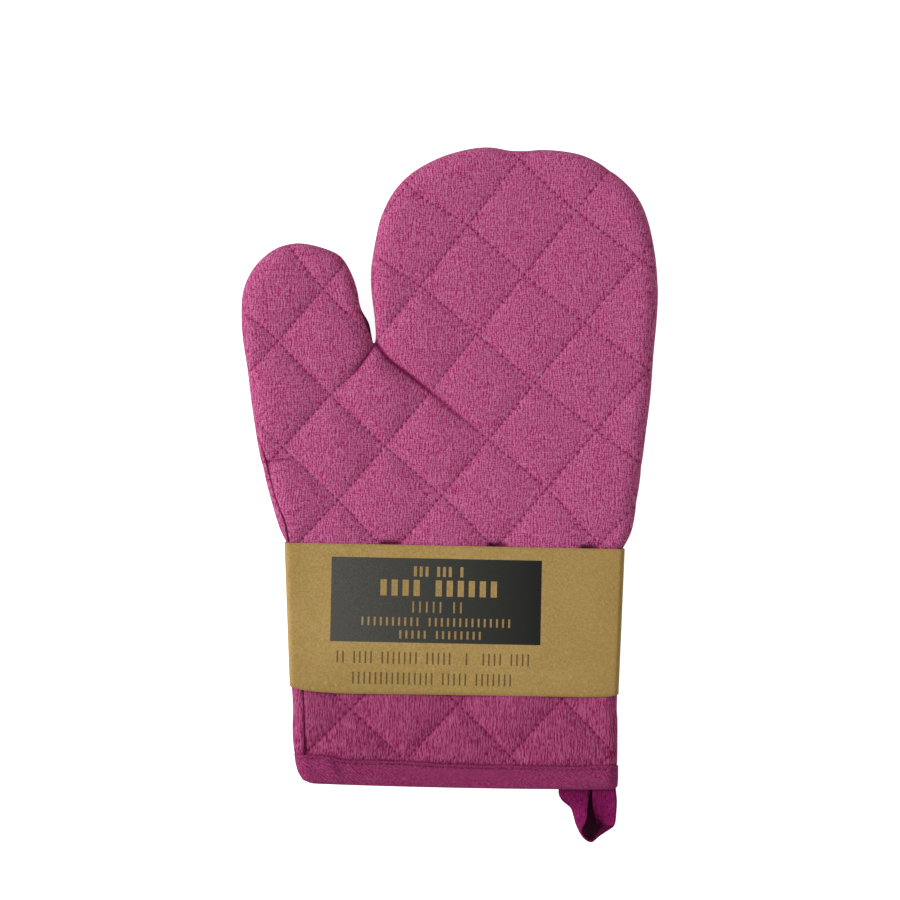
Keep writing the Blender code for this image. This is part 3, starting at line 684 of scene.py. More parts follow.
def inner_height(half, points):
    """The inner face of the wadding: it rises from the seam and then lies flat, but for the folds."""
    rise = ROLL_HEIGHTS[-1] + (INNER_FACE - ROLL_HEIGHTS[-1]) * np.clip(half.depth(points) / INNER_SLOPE, 0, 1)
    return np.maximum(rise - half.sunk(points, SPREAD_INSIDE)[0], ROLL_HEIGHTS[-1])


def lining_piece(half, finish):
    """The lining: a thin cloth a little inside the wadding, with shallow dents under the quilting lines.

    It rises from its edge as a power of a smooth step, to a level less the dents, plus low waves.
    """
    seam = moved_inwards(half.seam, LINING_INSET)
    mouth_x = np.linspace(seam[-1, 0], seam[0, 0], 60)[1:-1]
    mouth = np.column_stack([mouth_x, mouth_height(mouth_x) + MOUTH_EDGE])
    rim = np.vstack([seam[::3], seam[-1:], mouth])
    inner = grid_within(rim, LINING_CELL)
    inner = inner[inner[:, 1] > mouth_height(inner[:, 0]) + 0.0025]
    inner = inner[half.depth(inner) > LINING_INSET + 0.0016]
    points = np.vstack([rim, inner])
    near = half.line_distances(half.place(points)).min(axis=1)
    waves = np.sin(points @ (90, 60) + half.phase) * np.sin(points @ (-60, 120))
    flat = LINING_FACE - 0.0003 * (1 - np.exp(-near / 0.004)) + 0.00015 * waves
    rise = smooth_step((half.depth(points) - LINING_INSET) / 0.005) ** 0.7
    height = LINING_EDGE + (flat - LINING_EDGE) * rise
    height = np.maximum(height - half.sunk(points, SPREAD_INSIDE)[0], LINING_EDGE)
    faces = [turned(triangles_within(points, len(rim)), -half.side)]
    name = f"{half.mitt}_lining_cloth_{half.name}"
    piece = mesh_piece(name, half.lifted(points, height), faces, finish, half.mitt, wall=LINING_CLOTH)
    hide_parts(f"{half.mitt}_lining_{half.name}")


def capsules(places, along, upwards, length, radius, sides=6):
    """Short round threads: each is a spindle with round ends that dips into the cloth at both ends.

    Its rings grow and shrink by a table along its length, and their middles follow a parabola.
    """
    share = np.array([-1.0, -0.72, 0.0, 0.72, 1.0])[:, None]
    girth = radius * np.array([0.25, 0.85, 1.0, 0.85, 0.25])[:, None]
    angle = np.arange(sides) * 2 * math.pi / sides
    up = girth * np.sin(angle) - 1.1 * radius * share**2
    section = np.stack([share * length / 2 + 0 * angle, girth * np.cos(angle), up], axis=-1).reshape(-1, 3)
    points = places[:, None] + section @ np.stack([along, np.cross(upwards, along), upwards], axis=1)
    starts = (np.arange(len(places)) * len(section))[:, None, None]
    row = np.arange(sides)
    quads = starts + grid_faces(len(share), sides, True)[:, (0, 3, 2, 1)]
    caps = starts + np.stack([row, len(section) - 1 - row])
    return points.reshape(-1, 3), [quads.reshape(-1, 4), caps.reshape(-1, sides)]


def stitch_rows(half):
    """Where the quilting stitches lie: even steps along every line of both families, and places a little ahead."""
    steps = np.arange(-LINES_EACH_WAY * STITCHES_A_DIAMOND, LINES_EACH_WAY * STITCHES_A_DIAMOND) / STITCHES_A_DIAMOND
    every = grid_points(np.arange(-LINES_EACH_WAY, LINES_EACH_WAY + 1), steps)
    corners = half.place(grid_points((-0.1, 0.1), (0.0, 0.3)))
    tests = (
        lambda points: (np.abs(points[:, 0]) < MITT_WIDTH / 2) & (points[:, 1] > 0.013) & (points[:, 1] < MITT_LENGTH),
        lambda points: inside(half.rim, points),
        lambda points: (half.depth(points) > 0.0012) & (points[:, 1] > binding_top(points[:, 0]) + 0.0012),
        lambda points: half.sunk(points)[2] < 0.5,
    )
    found = []
    for places, ahead in ((every, (0, 0.01)), (every[:, ::-1], (0.01, 0))):
        places = places[((places > corners.min(axis=0)) & (places < corners.max(axis=0))).all(axis=1)]
        points = from_quilt_place(places - half.shift)
        for test in tests:
            kept = test(points)
            points, places = points[kept], places[kept]
        found.append(np.hstack([points, from_quilt_place(places + ahead - half.shift)]))
    return np.hsplit(np.vstack(found), 2)


def stitching_piece(half, finish):
    """The quilting thread that shows: a short stitch in a dimple at every step along the lines."""
    places, ahead = (half.lifted(half.leaning(part), half.height(part)[0]) for part in stitch_rows(half))
    along = unit(ahead - places)
    upwards = unit((0, 0, half.side) - along * (along[:, 2:] * half.side))
    sewn, faces = capsules(places + 0.00005 * upwards, along, upwards, 0.0014, THREAD_RADIUS)
    mesh_piece(f"{half.mitt}_quilting_stitches_{half.name}", sewn, faces, finish, half.mitt)


BLACK, WHITE = (0, 0, 0, 1), (1, 1, 1, 1)


def add(tree, kind, values=None, **settings):
    """A shader node with its settings, and its inputs given as values or as other nodes' outputs."""
    node = tree.nodes.new("ShaderNode" + kind)
    for key, value in settings.items():
        setattr(node, key, value)
    for key, value in (values or {}).items():
        if isinstance(value, bpy.types.NodeSocket):
            tree.links.new(value, node.inputs[key])
        else:
            node.inputs[key].default_value = value
    return node


def new_material(name, **shader_values):
    made = bpy.data.materials.new(name)
    made.use_nodes = True
    shader = made.node_tree.nodes["Principled BSDF"]
    for key, value in shader_values.items():
        shader.inputs[key.replace("_", " ")].default_value = value
    return made, made.node_tree, shader


def surfaced(tree, shader, shade, height, strength, distance):
    """Gives a shader its colour, and a bump that follows the height."""
    tree.links.new(shade, shader.inputs["Base Color"])
    bump = add(tree, "Bump", {"Height": height, "Strength": strength, "Distance": distance})
    tree.links.new(bump.outputs[0], shader.inputs["Normal"])


def calculated(tree, operation, first, second=0.0, clamp=False):
    return add(tree, "Math", {0: first, 1: second}, operation=operation, use_clamp=clamp).outputs[0]


def times(tree, first, second):
    return calculated(tree, "MULTIPLY", first, second)


def larger(tree, first, second):
    return calculated(tree, "MAXIMUM", first, second)


def combined(tree, operation, outputs, clamp=False):
    """All the outputs, joined one after another by an operation."""
    total = outputs[0]
    for output in outputs[1:]:
        total = calculated(tree, operation, total, output, clamp)
    return total


def weighted(tree, parts):
    """The sum of the outputs, each times its weight."""
    return combined(tree, "ADD", [times(tree, output, weight) for output, weight in parts])


def mapped(tree, value, low, high, to_low=0.0, to_high=1.0):
    """The value, carried from one range to another and kept within it."""
    values = {"Value": value, "From Min": low, "From Max": high, "To Min": to_low, "To Max": to_high}
    return add(tree, "MapRange", values).outputs[0]


def mapping(tree, **values):
    """Places on the piece's own axes, with the pattern's place, turn or size taken off them."""
    place = add(tree, "TexCoord").outputs["Object"]
    return add(tree, "Mapping", {"Vector": place, **values}, vector_type="TEXTURE").outputs[0]


def grain(tree, size, turn=0.0, detail=2.0):
    """Noise on the piece's own axes. size is a grain's length along all or each of them, and turn is about Z."""
    place = mapping(tree, Rotation=(0, 0, turn), Scale=size if isinstance(size, tuple) else (size,) * 3)
    values = {"Vector": place, "Scale": 1.0, "Detail": detail, "Roughness": 0.6}
    return add(tree, "TexNoise", values).outputs["Fac"]


def threads(tree, axis, pitch, turn, wander):
    """Threads side by side along one axis, as a sine of the place across them plus a noise that lets them wander."""
    across = add(tree, "SeparateXYZ", {"Vector": mapping(tree, Rotation=(0, 0, turn))}).outputs[axis]
    phase = weighted(tree, [(across, 2 * math.pi / pitch), (wander, WANDER)])
    return calculated(tree, "SINE", phase)


def mixed_in(tree, share, first, second):
    return add(tree, "MixRGB", {"Fac": share, "Color1": first, "Color2": second}).outputs[0]


def named_value(tree, name):
    return add(tree, "Attribute", attribute_name=name).outputs["Fac"]


def ramp(tree, factor, stops, constant=False):
    node = add(tree, "ValToRGB", {"Fac": factor})
    node.color_ramp.interpolation = "CONSTANT" if constant else "LINEAR"
    while len(node.color_ramp.elements) < len(stops):
        node.color_ramp.elements.new(1.0)
    for element, (position, shade) in zip(node.color_ramp.elements, stops):
        element.position = position
        element.color = shade
    return node.outputs["Color"]


# The cloth's shading: how far its threads wander, in radians, and the widths of a quilting line's crease and puckers
WANDER = 14.0
CREASE_MM = 0.55
PUCKER_MM = 1.8


def quilting_shade_and_puckers(tree):
    """Painted shade in the quilting lines' crease and in the dimples at their stitches, and the puckers' height in mm.

    The distance to a line is the fold of the place across it. The stitches follow a cosine of the place along it.
    """
    creases, dots, puckers = [], [], []
    places = [named_value(tree, "quilt_up"), named_value(tree, "quilt_down")]
    for across, along in (places, places[::-1]):
        near = times(tree, calculated(tree, "PINGPONG", across, 0.5), QUILT_PITCH * 1000)
        wave = calculated(tree, "COSINE", times(tree, along, 2 * math.pi * STITCHES_A_DIAMOND))
        squared = calculated(tree, "POWER", times(tree, near, 1 / CREASE_MM), 2.0)
        creases.append(calculated(tree, "EXPONENT", times(tree, squared, -1.0)))
        dots.append(times(tree, creases[-1], larger(tree, wave, 0.0)))
        faded = calculated(tree, "EXPONENT", times(tree, near, -1 / PUCKER_MM))
        puckers.append(times(tree, faded, wave))
    crease, dots = larger(tree, *creases), larger(tree, *dots)
    quilted = calculated(tree, "SUBTRACT", 1.0, named_value(tree, "plain"), clamp=True)
    height = weighted(tree, [(combined(tree, "ADD", puckers), -0.10), (crease, -0.10)])
    return [times(tree, output, quilted) for output in (crease, dots, height)]


def cotton(name, dark, light, gap_and_shade, turn=0.0, fineness=1.0, quilted=False):
    """Plain woven cotton: uneven yarns that run along the mitt, finer ones across, dark gaps, and a matt face.

    On the quilted cloth, yarns beside the cuff are longer and the cloth there is painted darker as shade, and painted
    shade lies along the quilting lines, in their stitch dimples and in the folds.
    """
    made, tree, shader = new_material(
        name, Roughness=0.95, Specular_IOR_Level=0.15, Sheen_Weight=0.03, Sheen_Roughness=0.5
    )

    def yarns(across, along, detail):
        return grain(tree, (across * fineness, along * fineness, 0.0012), turn, detail)

    warp = threads(tree, 0, 0.00116 * fineness, turn, yarns(0.004, 0.010, 0.0))
    weft = threads(tree, 1, 0.00094 * fineness, turn, yarns(0.006, 0.003, 0.0))
    mixed = weighted(tree, [
        (yarns(0.00037, 0.0017, 0.5), 0.42), (yarns(0.0010, 0.00037, 0.5), 0.18), (yarns(0.00034, 0.0006, 0.0), 0.33),
        (yarns(0.0009, 0.014, 1.0), 0.06), (warp, 0.054), (weft, 0.030),
    ])
    middle = tuple((a + b) / 2 for a, b in zip(dark, light))
    shade = ramp(tree, mixed, [(0.38, dark), (0.50, middle), (0.62, light)])
    gaps = ramp(tree, yarns(0.00038, 0.0012, 0.0), [(0.26, WHITE), (0.36, BLACK)])
    shade = mixed_in(tree, times(tree, gaps, 0.4), shade, gap_and_shade)
    height = times(tree, mixed, 0.30)
    if quilted:
        cuff = named_value(tree, "cuff")
        # Beside the cuff: longer yarns, and painted shade that darkens the cloth below the band
        cuff_yarns_and_shade = [(yarns(0.00038, 0.0044, 0.0), 0.5), (yarns(0.00034, 0.0014, 0.0), 0.5), (warp, 0.06)]
        cuff_yarns_and_shade = ramp(tree, weighted(tree, cuff_yarns_and_shade), [(0.36, colour(119, 6, 66)), (0.64, colour(166, 80, 120))])
        shade = mixed_in(tree, cuff, shade, cuff_yarns_and_shade)
        crease, dots, puckers = quilting_shade_and_puckers(tree)
        # Painted shade at the quilting lines' creases and stitch dimples, stronger beside the cuff
        painted_line_shade = larger(tree, times(tree, crease, 0.20), times(tree, dots, 0.70))
        painted_line_shade = times(tree, painted_line_shade, calculated(tree, "ADD", times(tree, cuff, 0.6), 1.0))
        shade = mixed_in(tree, larger(tree, painted_line_shade, named_value(tree, "painted_crease_shade")), shade, gap_and_shade)
        height = calculated(tree, "ADD", height, puckers)
    surfaced(tree, shader, shade, height, 0.8, 0.001)
    return made


def thread(name, shade):
    """Sewing thread: plied, with a darker twist."""
    made, tree, shader = new_material(name, Roughness=0.85, Specular_IOR_Level=0.2)
    dark = (*(value * 0.7 for value in shade[:3]), 1)
    twisted = ramp(tree, grain(tree, 0.0003), [(0.35, dark), (0.65, shade)])
    tree.links.new(twisted, shader.inputs["Base Color"])
    return made


def stadium(right, left, height, rim, corner_steps, flat_steps):
    """A closed section, going round from the right: flat faces joined by elliptical sides. Rows of (across, up)."""
    turn = np.linspace(0, math.pi / 2, corner_steps, endpoint=False)
    flat = np.linspace(right - rim, left + rim, flat_steps, endpoint=False)
    across = np.concatenate([right - rim + rim * np.cos(turn), flat, left + rim - rim * np.sin(turn)])
    up = height * np.concatenate([np.sin(turn), np.ones(flat_steps), np.cos(turn)])
    upper = np.column_stack([across, up])
    return np.vstack([upper, (right + left, 0) - upper])


def grid_faces(rows, columns, closed):
    """Quads of a grid of points. closed joins the last column to the first."""
    numbers = np.arange(rows * columns).reshape(rows, columns)
    if closed:
        numbers = np.hstack([numbers, numbers[:, :1]])
    corners = [numbers[:-1, :-1], numbers[:-1, 1:], numbers[1:, 1:], numbers[1:, :-1]]
    return np.stack([part.ravel() for part in corners], axis=1)


def table_at(table, value):
    return np.interp(value, *np.array(table).T)


def bump_between(value, start, end):
    """A round swelling from start to end."""
    return np.sin(math.pi * np.clip((value - start) / (end - start), 0, 1))


def binding_row(half, share, out, outside, narrower):
    """One closed row of the binding, with rounded sides, at a share of the way from the mouth's edge to its top.

    Outside, it is lifted by a ruffle between the stitches, by low waves and, on the photographed face, by a crease.
    """
    tops = [binding_top(x) if outside else BINDING_INNER for x in (MOUTH_LEFT, MOUTH_RIGHT)]
    left = table_at(BOUND_LEFT_TABLE, tops[0] * share + MOUTH_RISE * (1 - share)) + narrower
    right = table_at(BOUND_RIGHT_TABLE, tops[1] * share) - narrower
    offset = min(out, 0.0)
    x, level = stadium(right + offset, left - offset, BINDING_HEIGHT + out, BINDING_RIM + out, 16, 320).T
    top = binding_top(x) if outside else BINDING_INNER
    along = top * share + mouth_height(x) * (1 - share)
    lift = 0
    if outside:
        along = along + 0.00012 * np.sin(x * 310) * (share > 0.9)
        ruffle = BINDING_RUFFLE * np.cos(x * 2 * math.pi / STITCH_SPACING) * bell((share - 0.87) / 0.06)
        waves = 0.00018 * np.sin(x * 95 + 4 * share) * np.sin(x * 37) + 0.00008 * np.sin(x * 420 + 9 * share)
        lift = (ruffle + waves) * math.sin(math.pi * min(max(share, 0), 1)) ** 0.5
        if half.folds:
            aside = x - np.interp(along, *in_mitt(BINDING_CREASE_PIXELS[::-1])[:, ::-1].T)
            crease = bell(aside / np.where(aside < 0, *BINDING_CREASE_WIDTHS)) * bump_between(share, 0.1, 1.05)
            lift = lift + BINDING_CREASE_HEIGHT * crease * (level * half.side > 0)
    return np.column_stack([x, along, level + np.sign(level) * lift]) + half.origin


def binding_piece(half, finish, narrower):
    """A bias strip folded over the mouth: its outer leaf, a round fold and its inner leaf, right round the mouth.

    The rows run from the outer leaf's edge in the seam line (share 1) over a small ridge, the dip of the stitching
    and the flat of the strip to the fold, and up inside again.
    """
    mitt = half.mitt
    profile = curve_through(BINDING_OUTSIDE + BINDING_INSIDE, 3)
    fold = len(BINDING_OUTSIDE) * 3 - 2
    rows = [binding_row(half, share, out, number < fold, narrower) for number, (share, out) in enumerate(profile)]
    faces = [grid_faces(len(rows), len(rows[0]), True)]
    piece = mesh_piece(f"{mitt}_bound_cuff", np.vstack(rows), faces, finish, mitt, wall=BINDING_CLOTH)
    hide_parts(f"{mitt}_cuff_binding")


def binding_stitches_piece(half, finish):
    """The row of short stitches a little below the binding's top, on both faces."""
    x = np.arange(MOUTH_LEFT + 0.002, MOUTH_RIGHT - 0.002, STITCH_SPACING)
    along = binding_top(x) - BINDING_STITCH_DROP
    ahead = unit(np.column_stack([np.ones(len(x)), np.gradient(along, x), np.zeros(len(x))]))
    sides = np.repeat([1, -1], len(x))
    places = np.column_stack([np.tile(x, 2), np.tile(along, 2), sides * (BINDING_HEIGHT + BINDING_STITCH_LIFT)])
    upwards = sides[:, None] * np.array([0.0, 0.0, 1.0])
    sewn, faces = capsules(places + half.origin, np.vstack([ahead, ahead]), upwards, 0.0019, THREAD_RADIUS)
    mesh_piece(f"{half.mitt}_cuff_stitches", sewn, faces, finish, half.mitt)


# The hanging loops: each ribbon's two edges as pixels, with heights from its mitt's middle plane in mm. The upper one
# comes down from the binding, turns on edge round the tip and goes up beside itself. The lower one lies on itself.
# Both bend between two places, which are given for the upper mitt.
RIBBON_WALL = 0.0008
RIBBON_BOW = 0.0003
RIBS = 13
UPPER_LOOP_EDGES = ([
    (558.6, 781, 0.0), (558.4, 789.7, 0.0), (558.9, 795, -0.2), (562, 800.5, -0.8), (567, 804.8, -1.7),
    (571.0, 808.5, -2.6), (573.6, 815, -3.6), (577, 825, -4.6), (581.5, 832.6, -5.5), (588, 836.5, -6.2),
    (593.2, 834.0, -6.4), (595.6, 828.0, -6.2), (596.6, 823.5, -5.6), (596.2, 819.8, -2.2), (593.6, 813.5, -0.5),
    (591.8, 803, -0.2), (592.2, 791, 0.0), (592.3, 781, 0.0),
], [
    (590.3, 781, 0.0), (590.3, 788.7, 0.2), (589.4, 795, 1.0), (588.2, 801.5, 1.9), (587.2, 808.6, 2.8),
    (586.7, 816, 3.8), (584.6, 822.5, 4.6), (581.2, 829.5, 5.2), (583.8, 836.5, 5.6), (591.2, 840.6, 5.6),
    (598.5, 835.0, 4.8), (605.8, 830.6, 3.8), (612.6, 826.6, 2.8), (615.0, 822.8, 2.0), (616.1, 815.7, 1.0),
    (617.0, 801, 0.3), (616.0, 789.5, 0.0), (616.0, 781, 0.0),
])
LOWER_LOOP_EDGES = ([
    (571.0, 781, 0.9), (572.0, 795, 0.4), (575.0, 810, -0.9), (578.5, 822, -1.8), (579.8, 829, -2.8),
    (583.0, 836.0, -4.2), (580.4, 830, -4.6), (578.5, 822, -4.4), (575.0, 810, -3.4), (572.0, 795, -1.6),
    (571.0, 781, -0.9),
], [
    (599.0, 781, 0.9), (599.5, 795, 1.6), (600.5, 810, 3.2), (601.5, 822, 4.0), (600.5, 830, 4.4), (594.5, 837.4, 4.4),
    (599.5, 830, 3.0), (600.5, 822, 2.4), (599.0, 810, 1.2), (599.0, 795, -0.4), (599.0, 781, -0.9),
])


def rail(points, origin):
    """A ribbon's edge in the object's frame."""
    points = np.array(points)
    x, y = in_frame((points[:, 0], points[:, 1]))
    return np.column_stack([x, y, origin[2] + points[:, 2] / 1000])


def loop_piece(half, edges, finish):
    """A woven ribbon laid between its two edges, with bound selvedges and its ends under the binding.

    Its section runs over the ribbon and back under it, a wall apart and bowed as a parabola, and is carried along
    the middle of the two edges.
    """
    mitt = half.mitt
    far, near = (curve_through(rail(edge, half.origin), 8) for edge in edges)
    middle, width = (far + near) / 2, near - far
    normal = unit(np.cross(np.gradient(middle, axis=0), width))
    across = np.linspace(-0.5, 0.5, 17)
    wall = np.full(17, RIBBON_WALL / 2)
    wall[[0, 16]] *= 0.4
    wall[[1, 15]] *= 1.25
    bow = RIBBON_BOW * (1 - (2 * across) ** 2)
    section = np.column_stack([np.append(across, across[::-1]), np.append(bow + wall, (bow - wall)[::-1])])
    rows = middle[:, None] + section[None, :, :1] * width[:, None] + section[None, :, 1:] * normal[:, None]
    points = rows.reshape(-1, 3)
    count = len(section)
    sides = grid_faces(len(middle), count, True)
    ends = np.stack([np.arange(count)[::-1], np.arange(len(points) - count, len(points))])
    corners = points[sides]
    if (np.cross(corners[:, 0], corners[:, 1]) * corners[:, 2]).sum() < 0:
        sides, ends = sides[:, ::-1], ends[:, ::-1]
    reach = reach_along(middle)
    share = reach / reach[-1]
    # Painted shade on the upper loop: its left leg by the binding, and its inner face standing on edge past the tip
    if mitt == "upper_mitt":
        on_edge = smooth_step((np.abs(width[:, 2]) / np.linalg.norm(width, axis=1) - 0.62) / 0.2)
        inner_face = on_edge * smooth_step((share - 0.44) / 0.05)
        shaded = 0.16 * smooth_step((0.26 - share) / 0.1) + 0.5 * inner_face
    else:
        # Painted shade on the lower loop: its upper layer, which lies in the upper loop's shadow
        shaded = smooth_step(share / 0.1) * smooth_step((0.54 - share) / 0.04)
    values = {"ribbon_across": np.tile(section[:, 0], len(middle)), "ribbon_shade": np.repeat(shaded, count)}
    piece = mesh_piece(f"{mitt}_ribbon_loop", points, [sides, ends], finish, None, values)
    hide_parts(f"{mitt}_hanging_loop")
    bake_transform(piece)


def ribbon(name, dark, light):
    """Woven ribbon: fine ribs along it, a little fuzz, and painted shade where it stands on edge and where it lies
    below.
    """
    made, tree, shader = new_material(name, Roughness=0.9, Specular_IOR_Level=0.05)
    ribs = calculated(tree, "SINE", times(tree, named_value(tree, "ribbon_across"), 2 * math.pi * RIBS))
    fibre = grain(tree, (0.0006, 0.0022, 0.0022), 0.0, 3.0)
    mixed = weighted(tree, [(ribs, 0.05), (fibre, 0.6), (grain(tree, 0.0006, 0.0, 1.0), 0.4)])
    shade = ramp(tree, mixed, [(0.34, dark), (0.66, light)])
    # Painted shade: a near-black magenta where ribbon_shade is high
    shade = mixed_in(tree, named_value(tree, "ribbon_shade"), shade, colour(24, 0, 10))
    surfaced(tree, shader, shade, mixed, 0.5, 0.0003)
    return made


# The paper band: pixels of its upper and lower edges on the front
BAND_TOP_PIXELS = [(284.4, 542.4), (368, 543.9), (450, 545.5), (540, 547.3), (624.8, 549)]
BAND_BOTTOM_PIXELS = [
    (289.6, 685.6), (294, 687.0), (300, 688.6), (308.6, 690.1), (325, 691.8), (356, 693.1), (450, 694.3),
    (566, 696.2), (600, 696.2), (612, 695.5), (618.6, 693.8),
]
BAND_CORNER = (0.0015, 0.0070)
BAND_LAP = 0.016
BAND_LAP_LIFT = 0.0005
BAND_STEPS = 300
BAND_ROWS = 33
BAND_SLACK = 0.00022
PAPER = 0.00035
PANEL_PIXELS = ((331.2, 558.3), (541, 642.7))
PANEL_TURN = math.radians(1.15)
PRINT_ABOVE = 0.025


def band_piece(finish):
    """One strip of paper bent round both cuffs: a section with round corners, carried from the lower to the upper edge.

    The strip starts on the underside, lies over its own start there, and is glued to it. On the front it waves a
    little, by a product of two sines that fades towards the sides.
    """
    low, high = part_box("paper_band")
    edges = (BAND_BOTTOM_PIXELS, BAND_TOP_PIXELS)
    bottom, top = (curve_through([in_frame(pixel) for pixel in edge], 4) for edge in edges)
    rows = []
    for share in np.linspace(0, 1, BAND_ROWS):
        left, right = (bottom[end, 0] * (1 - share) + top[end, 0] * share for end in (0, -1))
        section = band_section(left, right, low.z, high.z)
        part = (section[:, 0] - left) / (right - left)
        front = section[:, 1] > (low.z + high.z) / 2
        along = 0
        for edge, weight in ((bottom, 1 - share), (top, share)):
            shown = np.interp(part, (edge[:, 0] - edge[0, 0]) / np.ptp(edge[:, 0]), edge[:, 1])
            hidden = edge[0, 1] + (edge[-1, 1] - edge[0, 1]) * part
            along = along + weight * np.where(front, shown, hidden)
        away = np.clip(np.minimum(part, 1 - part) / 0.12, 0, 1) * front
        slack = BAND_SLACK * np.sin(part * 11 + 2.3 * share) * np.sin(part * 5 + 4 * share + 1)
        rows.append(np.column_stack([section[:, 0], along, section[:, 1] + slack * away]))
    faces = [grid_faces(len(rows), len(rows[0]), False)[:, ::-1]]
    piece = mesh_piece("kraft_band", np.vstack(rows), faces, finish, "band", wall=PAPER)
    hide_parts("paper_band")


def band_section(left, right, bottom, top):
    """A rectangle with elliptical corners, from the underside's middle to the right, round and past its start."""
    half_turn = np.linspace(0, math.pi / 2, 12)
    across, up = BAND_CORNER
    x = (right - across, right - across, left + across, left + across)
    z = (bottom + up, top - up, top - up, bottom + up)
    angles = [half_turn + (number - 1) * math.pi / 2 for number in range(4)]
    arcs = [
        np.column_stack([x[number] + across * np.cos(angle), z[number] + up * np.sin(angle)])
        for number, angle in enumerate(angles)
    ]
    middle = (left + right) / 2
    line = np.vstack([[(middle - BAND_LAP, bottom)], *arcs, [(middle, bottom)]])
    reach = reach_along(line)
    wanted = np.linspace(0, reach[-1], BAND_STEPS)
    line = resampled(line, reach, wanted)
    line[:, 1] += BAND_LAP_LIFT * (1 - smooth_step((wanted - BAND_LAP) / 0.006))
    return line


def kraft(name):
    """Brown paper: fine mottling with a few short fibres and flecks, and a dark printed panel with plain bars.

    The ink has a painted reflection: it is lighter at the left, where the light comes from, and darker to the right.
    """
    made, tree, shader = new_material(name, Roughness=0.85, Specular_IOR_Level=0.2)
    fine = grain(tree, 0.0005, 0.0, 1.0)
    mixed = weighted(tree, [(grain(tree, 0.0011, 0.0, 3.0), 0.4), (fine, 0.4), (grain(tree, 0.035), 0.2)])
    paper = ramp(tree, mixed, [(0.36, colour(148, 119, 62)), (0.64, colour(180, 151, 95))])
    x, y = add(tree, "SeparateXYZ", {"Vector": add(tree, "TexCoord").outputs["Object"]}).outputs[:2]
    # Painted shade: the paper darkens towards its right end and towards its foot
    painted_shade_right = mapped(tree, x, 0.0, 0.075, 0.0, 0.30)
    painted_shade_foot = mapped(tree, y, -0.068, -0.088, 0.0, 0.30)
    paper = mixed_in(tree, larger(tree, painted_shade_right, painted_shade_foot), paper, colour(132, 104, 48))
    fibres = grain(tree, (0.0004, 0.003, 0.002), 0.7, 0.0)
    flecks = grain(tree, (0.0012, 0.0004, 0.002), -0.5, 0.0)
    for spots, low, high, share, shade in (
        (fibres, 0.20, 0.27, 0.5, colour(196, 168, 116)), (flecks, 0.13, 0.19, 0.7, colour(120, 92, 50)),
    ):
        spots = times(tree, ramp(tree, spots, [(low, WHITE), (high, BLACK)]), share)
        paper = mixed_in(tree, spots, paper, shade)
    panel, bars, dark_bars, across = printed_masks(tree)
    # Painted reflection: the ink is lighter at the left and darker to the right
    ink_and_painted_reflection = ramp(tree, across, [(0.0, colour(83, 82, 76)), (0.55, colour(56, 56, 51)), (1.0, colour(22, 22, 20))])
    grit = ramp(tree, fine, [(0.38, BLACK), (0.62, WHITE)])
    ink_and_painted_reflection = mixed_in(tree, times(tree, grit, 0.30), ink_and_painted_reflection, colour(24, 24, 22))
    shade = mixed_in(tree, calculated(tree, "SUBTRACT", panel, bars, clamp=True), paper, ink_and_painted_reflection)
    shade = mixed_in(tree, dark_bars, shade, colour(44, 38, 28))
    surfaced(tree, shader, shade, mixed, 0.4, 0.00012)
    return made


# Printed rows of even upright strokes: each row's top and bottom pixels, its strokes' spacing in pixels and how much
# of it they fill, and its groups' ends
PANEL_ROWS = [
    ((566.5, 576.5), 5.8, 0.50, [(412, 430), (437, 452), (457, 463)]),
    ((580, 596), 11.0, 0.56, [(378, 423), (431, 498)]),
    ((601.5, 612.5), 6.8, 0.22, [(410, 444), (449, 465)]),
    ((617.5, 626), 6.1, 0.30, [(360, 420), (430, 514)]),
    ((630.5, 638.5), 6.1, 0.32, [(398, 429), (435, 444), (447, 482)]),
]
PAPER_ROWS = [
    ((652, 664), 5.6, 0.27, [(336, 346), (352, 374), (382, 419), (428, 455), (463, 472), (479, 502), (509, 533)]),
    ((672.5, 684.5), 5.6, 0.27, [(352, 378), (382, 411), (416, 438), (442, 470), (474, 484), (487, 516)]),
]
PRINT_SOFTNESS = 0.0001
GROUP_MARGIN = 0.001


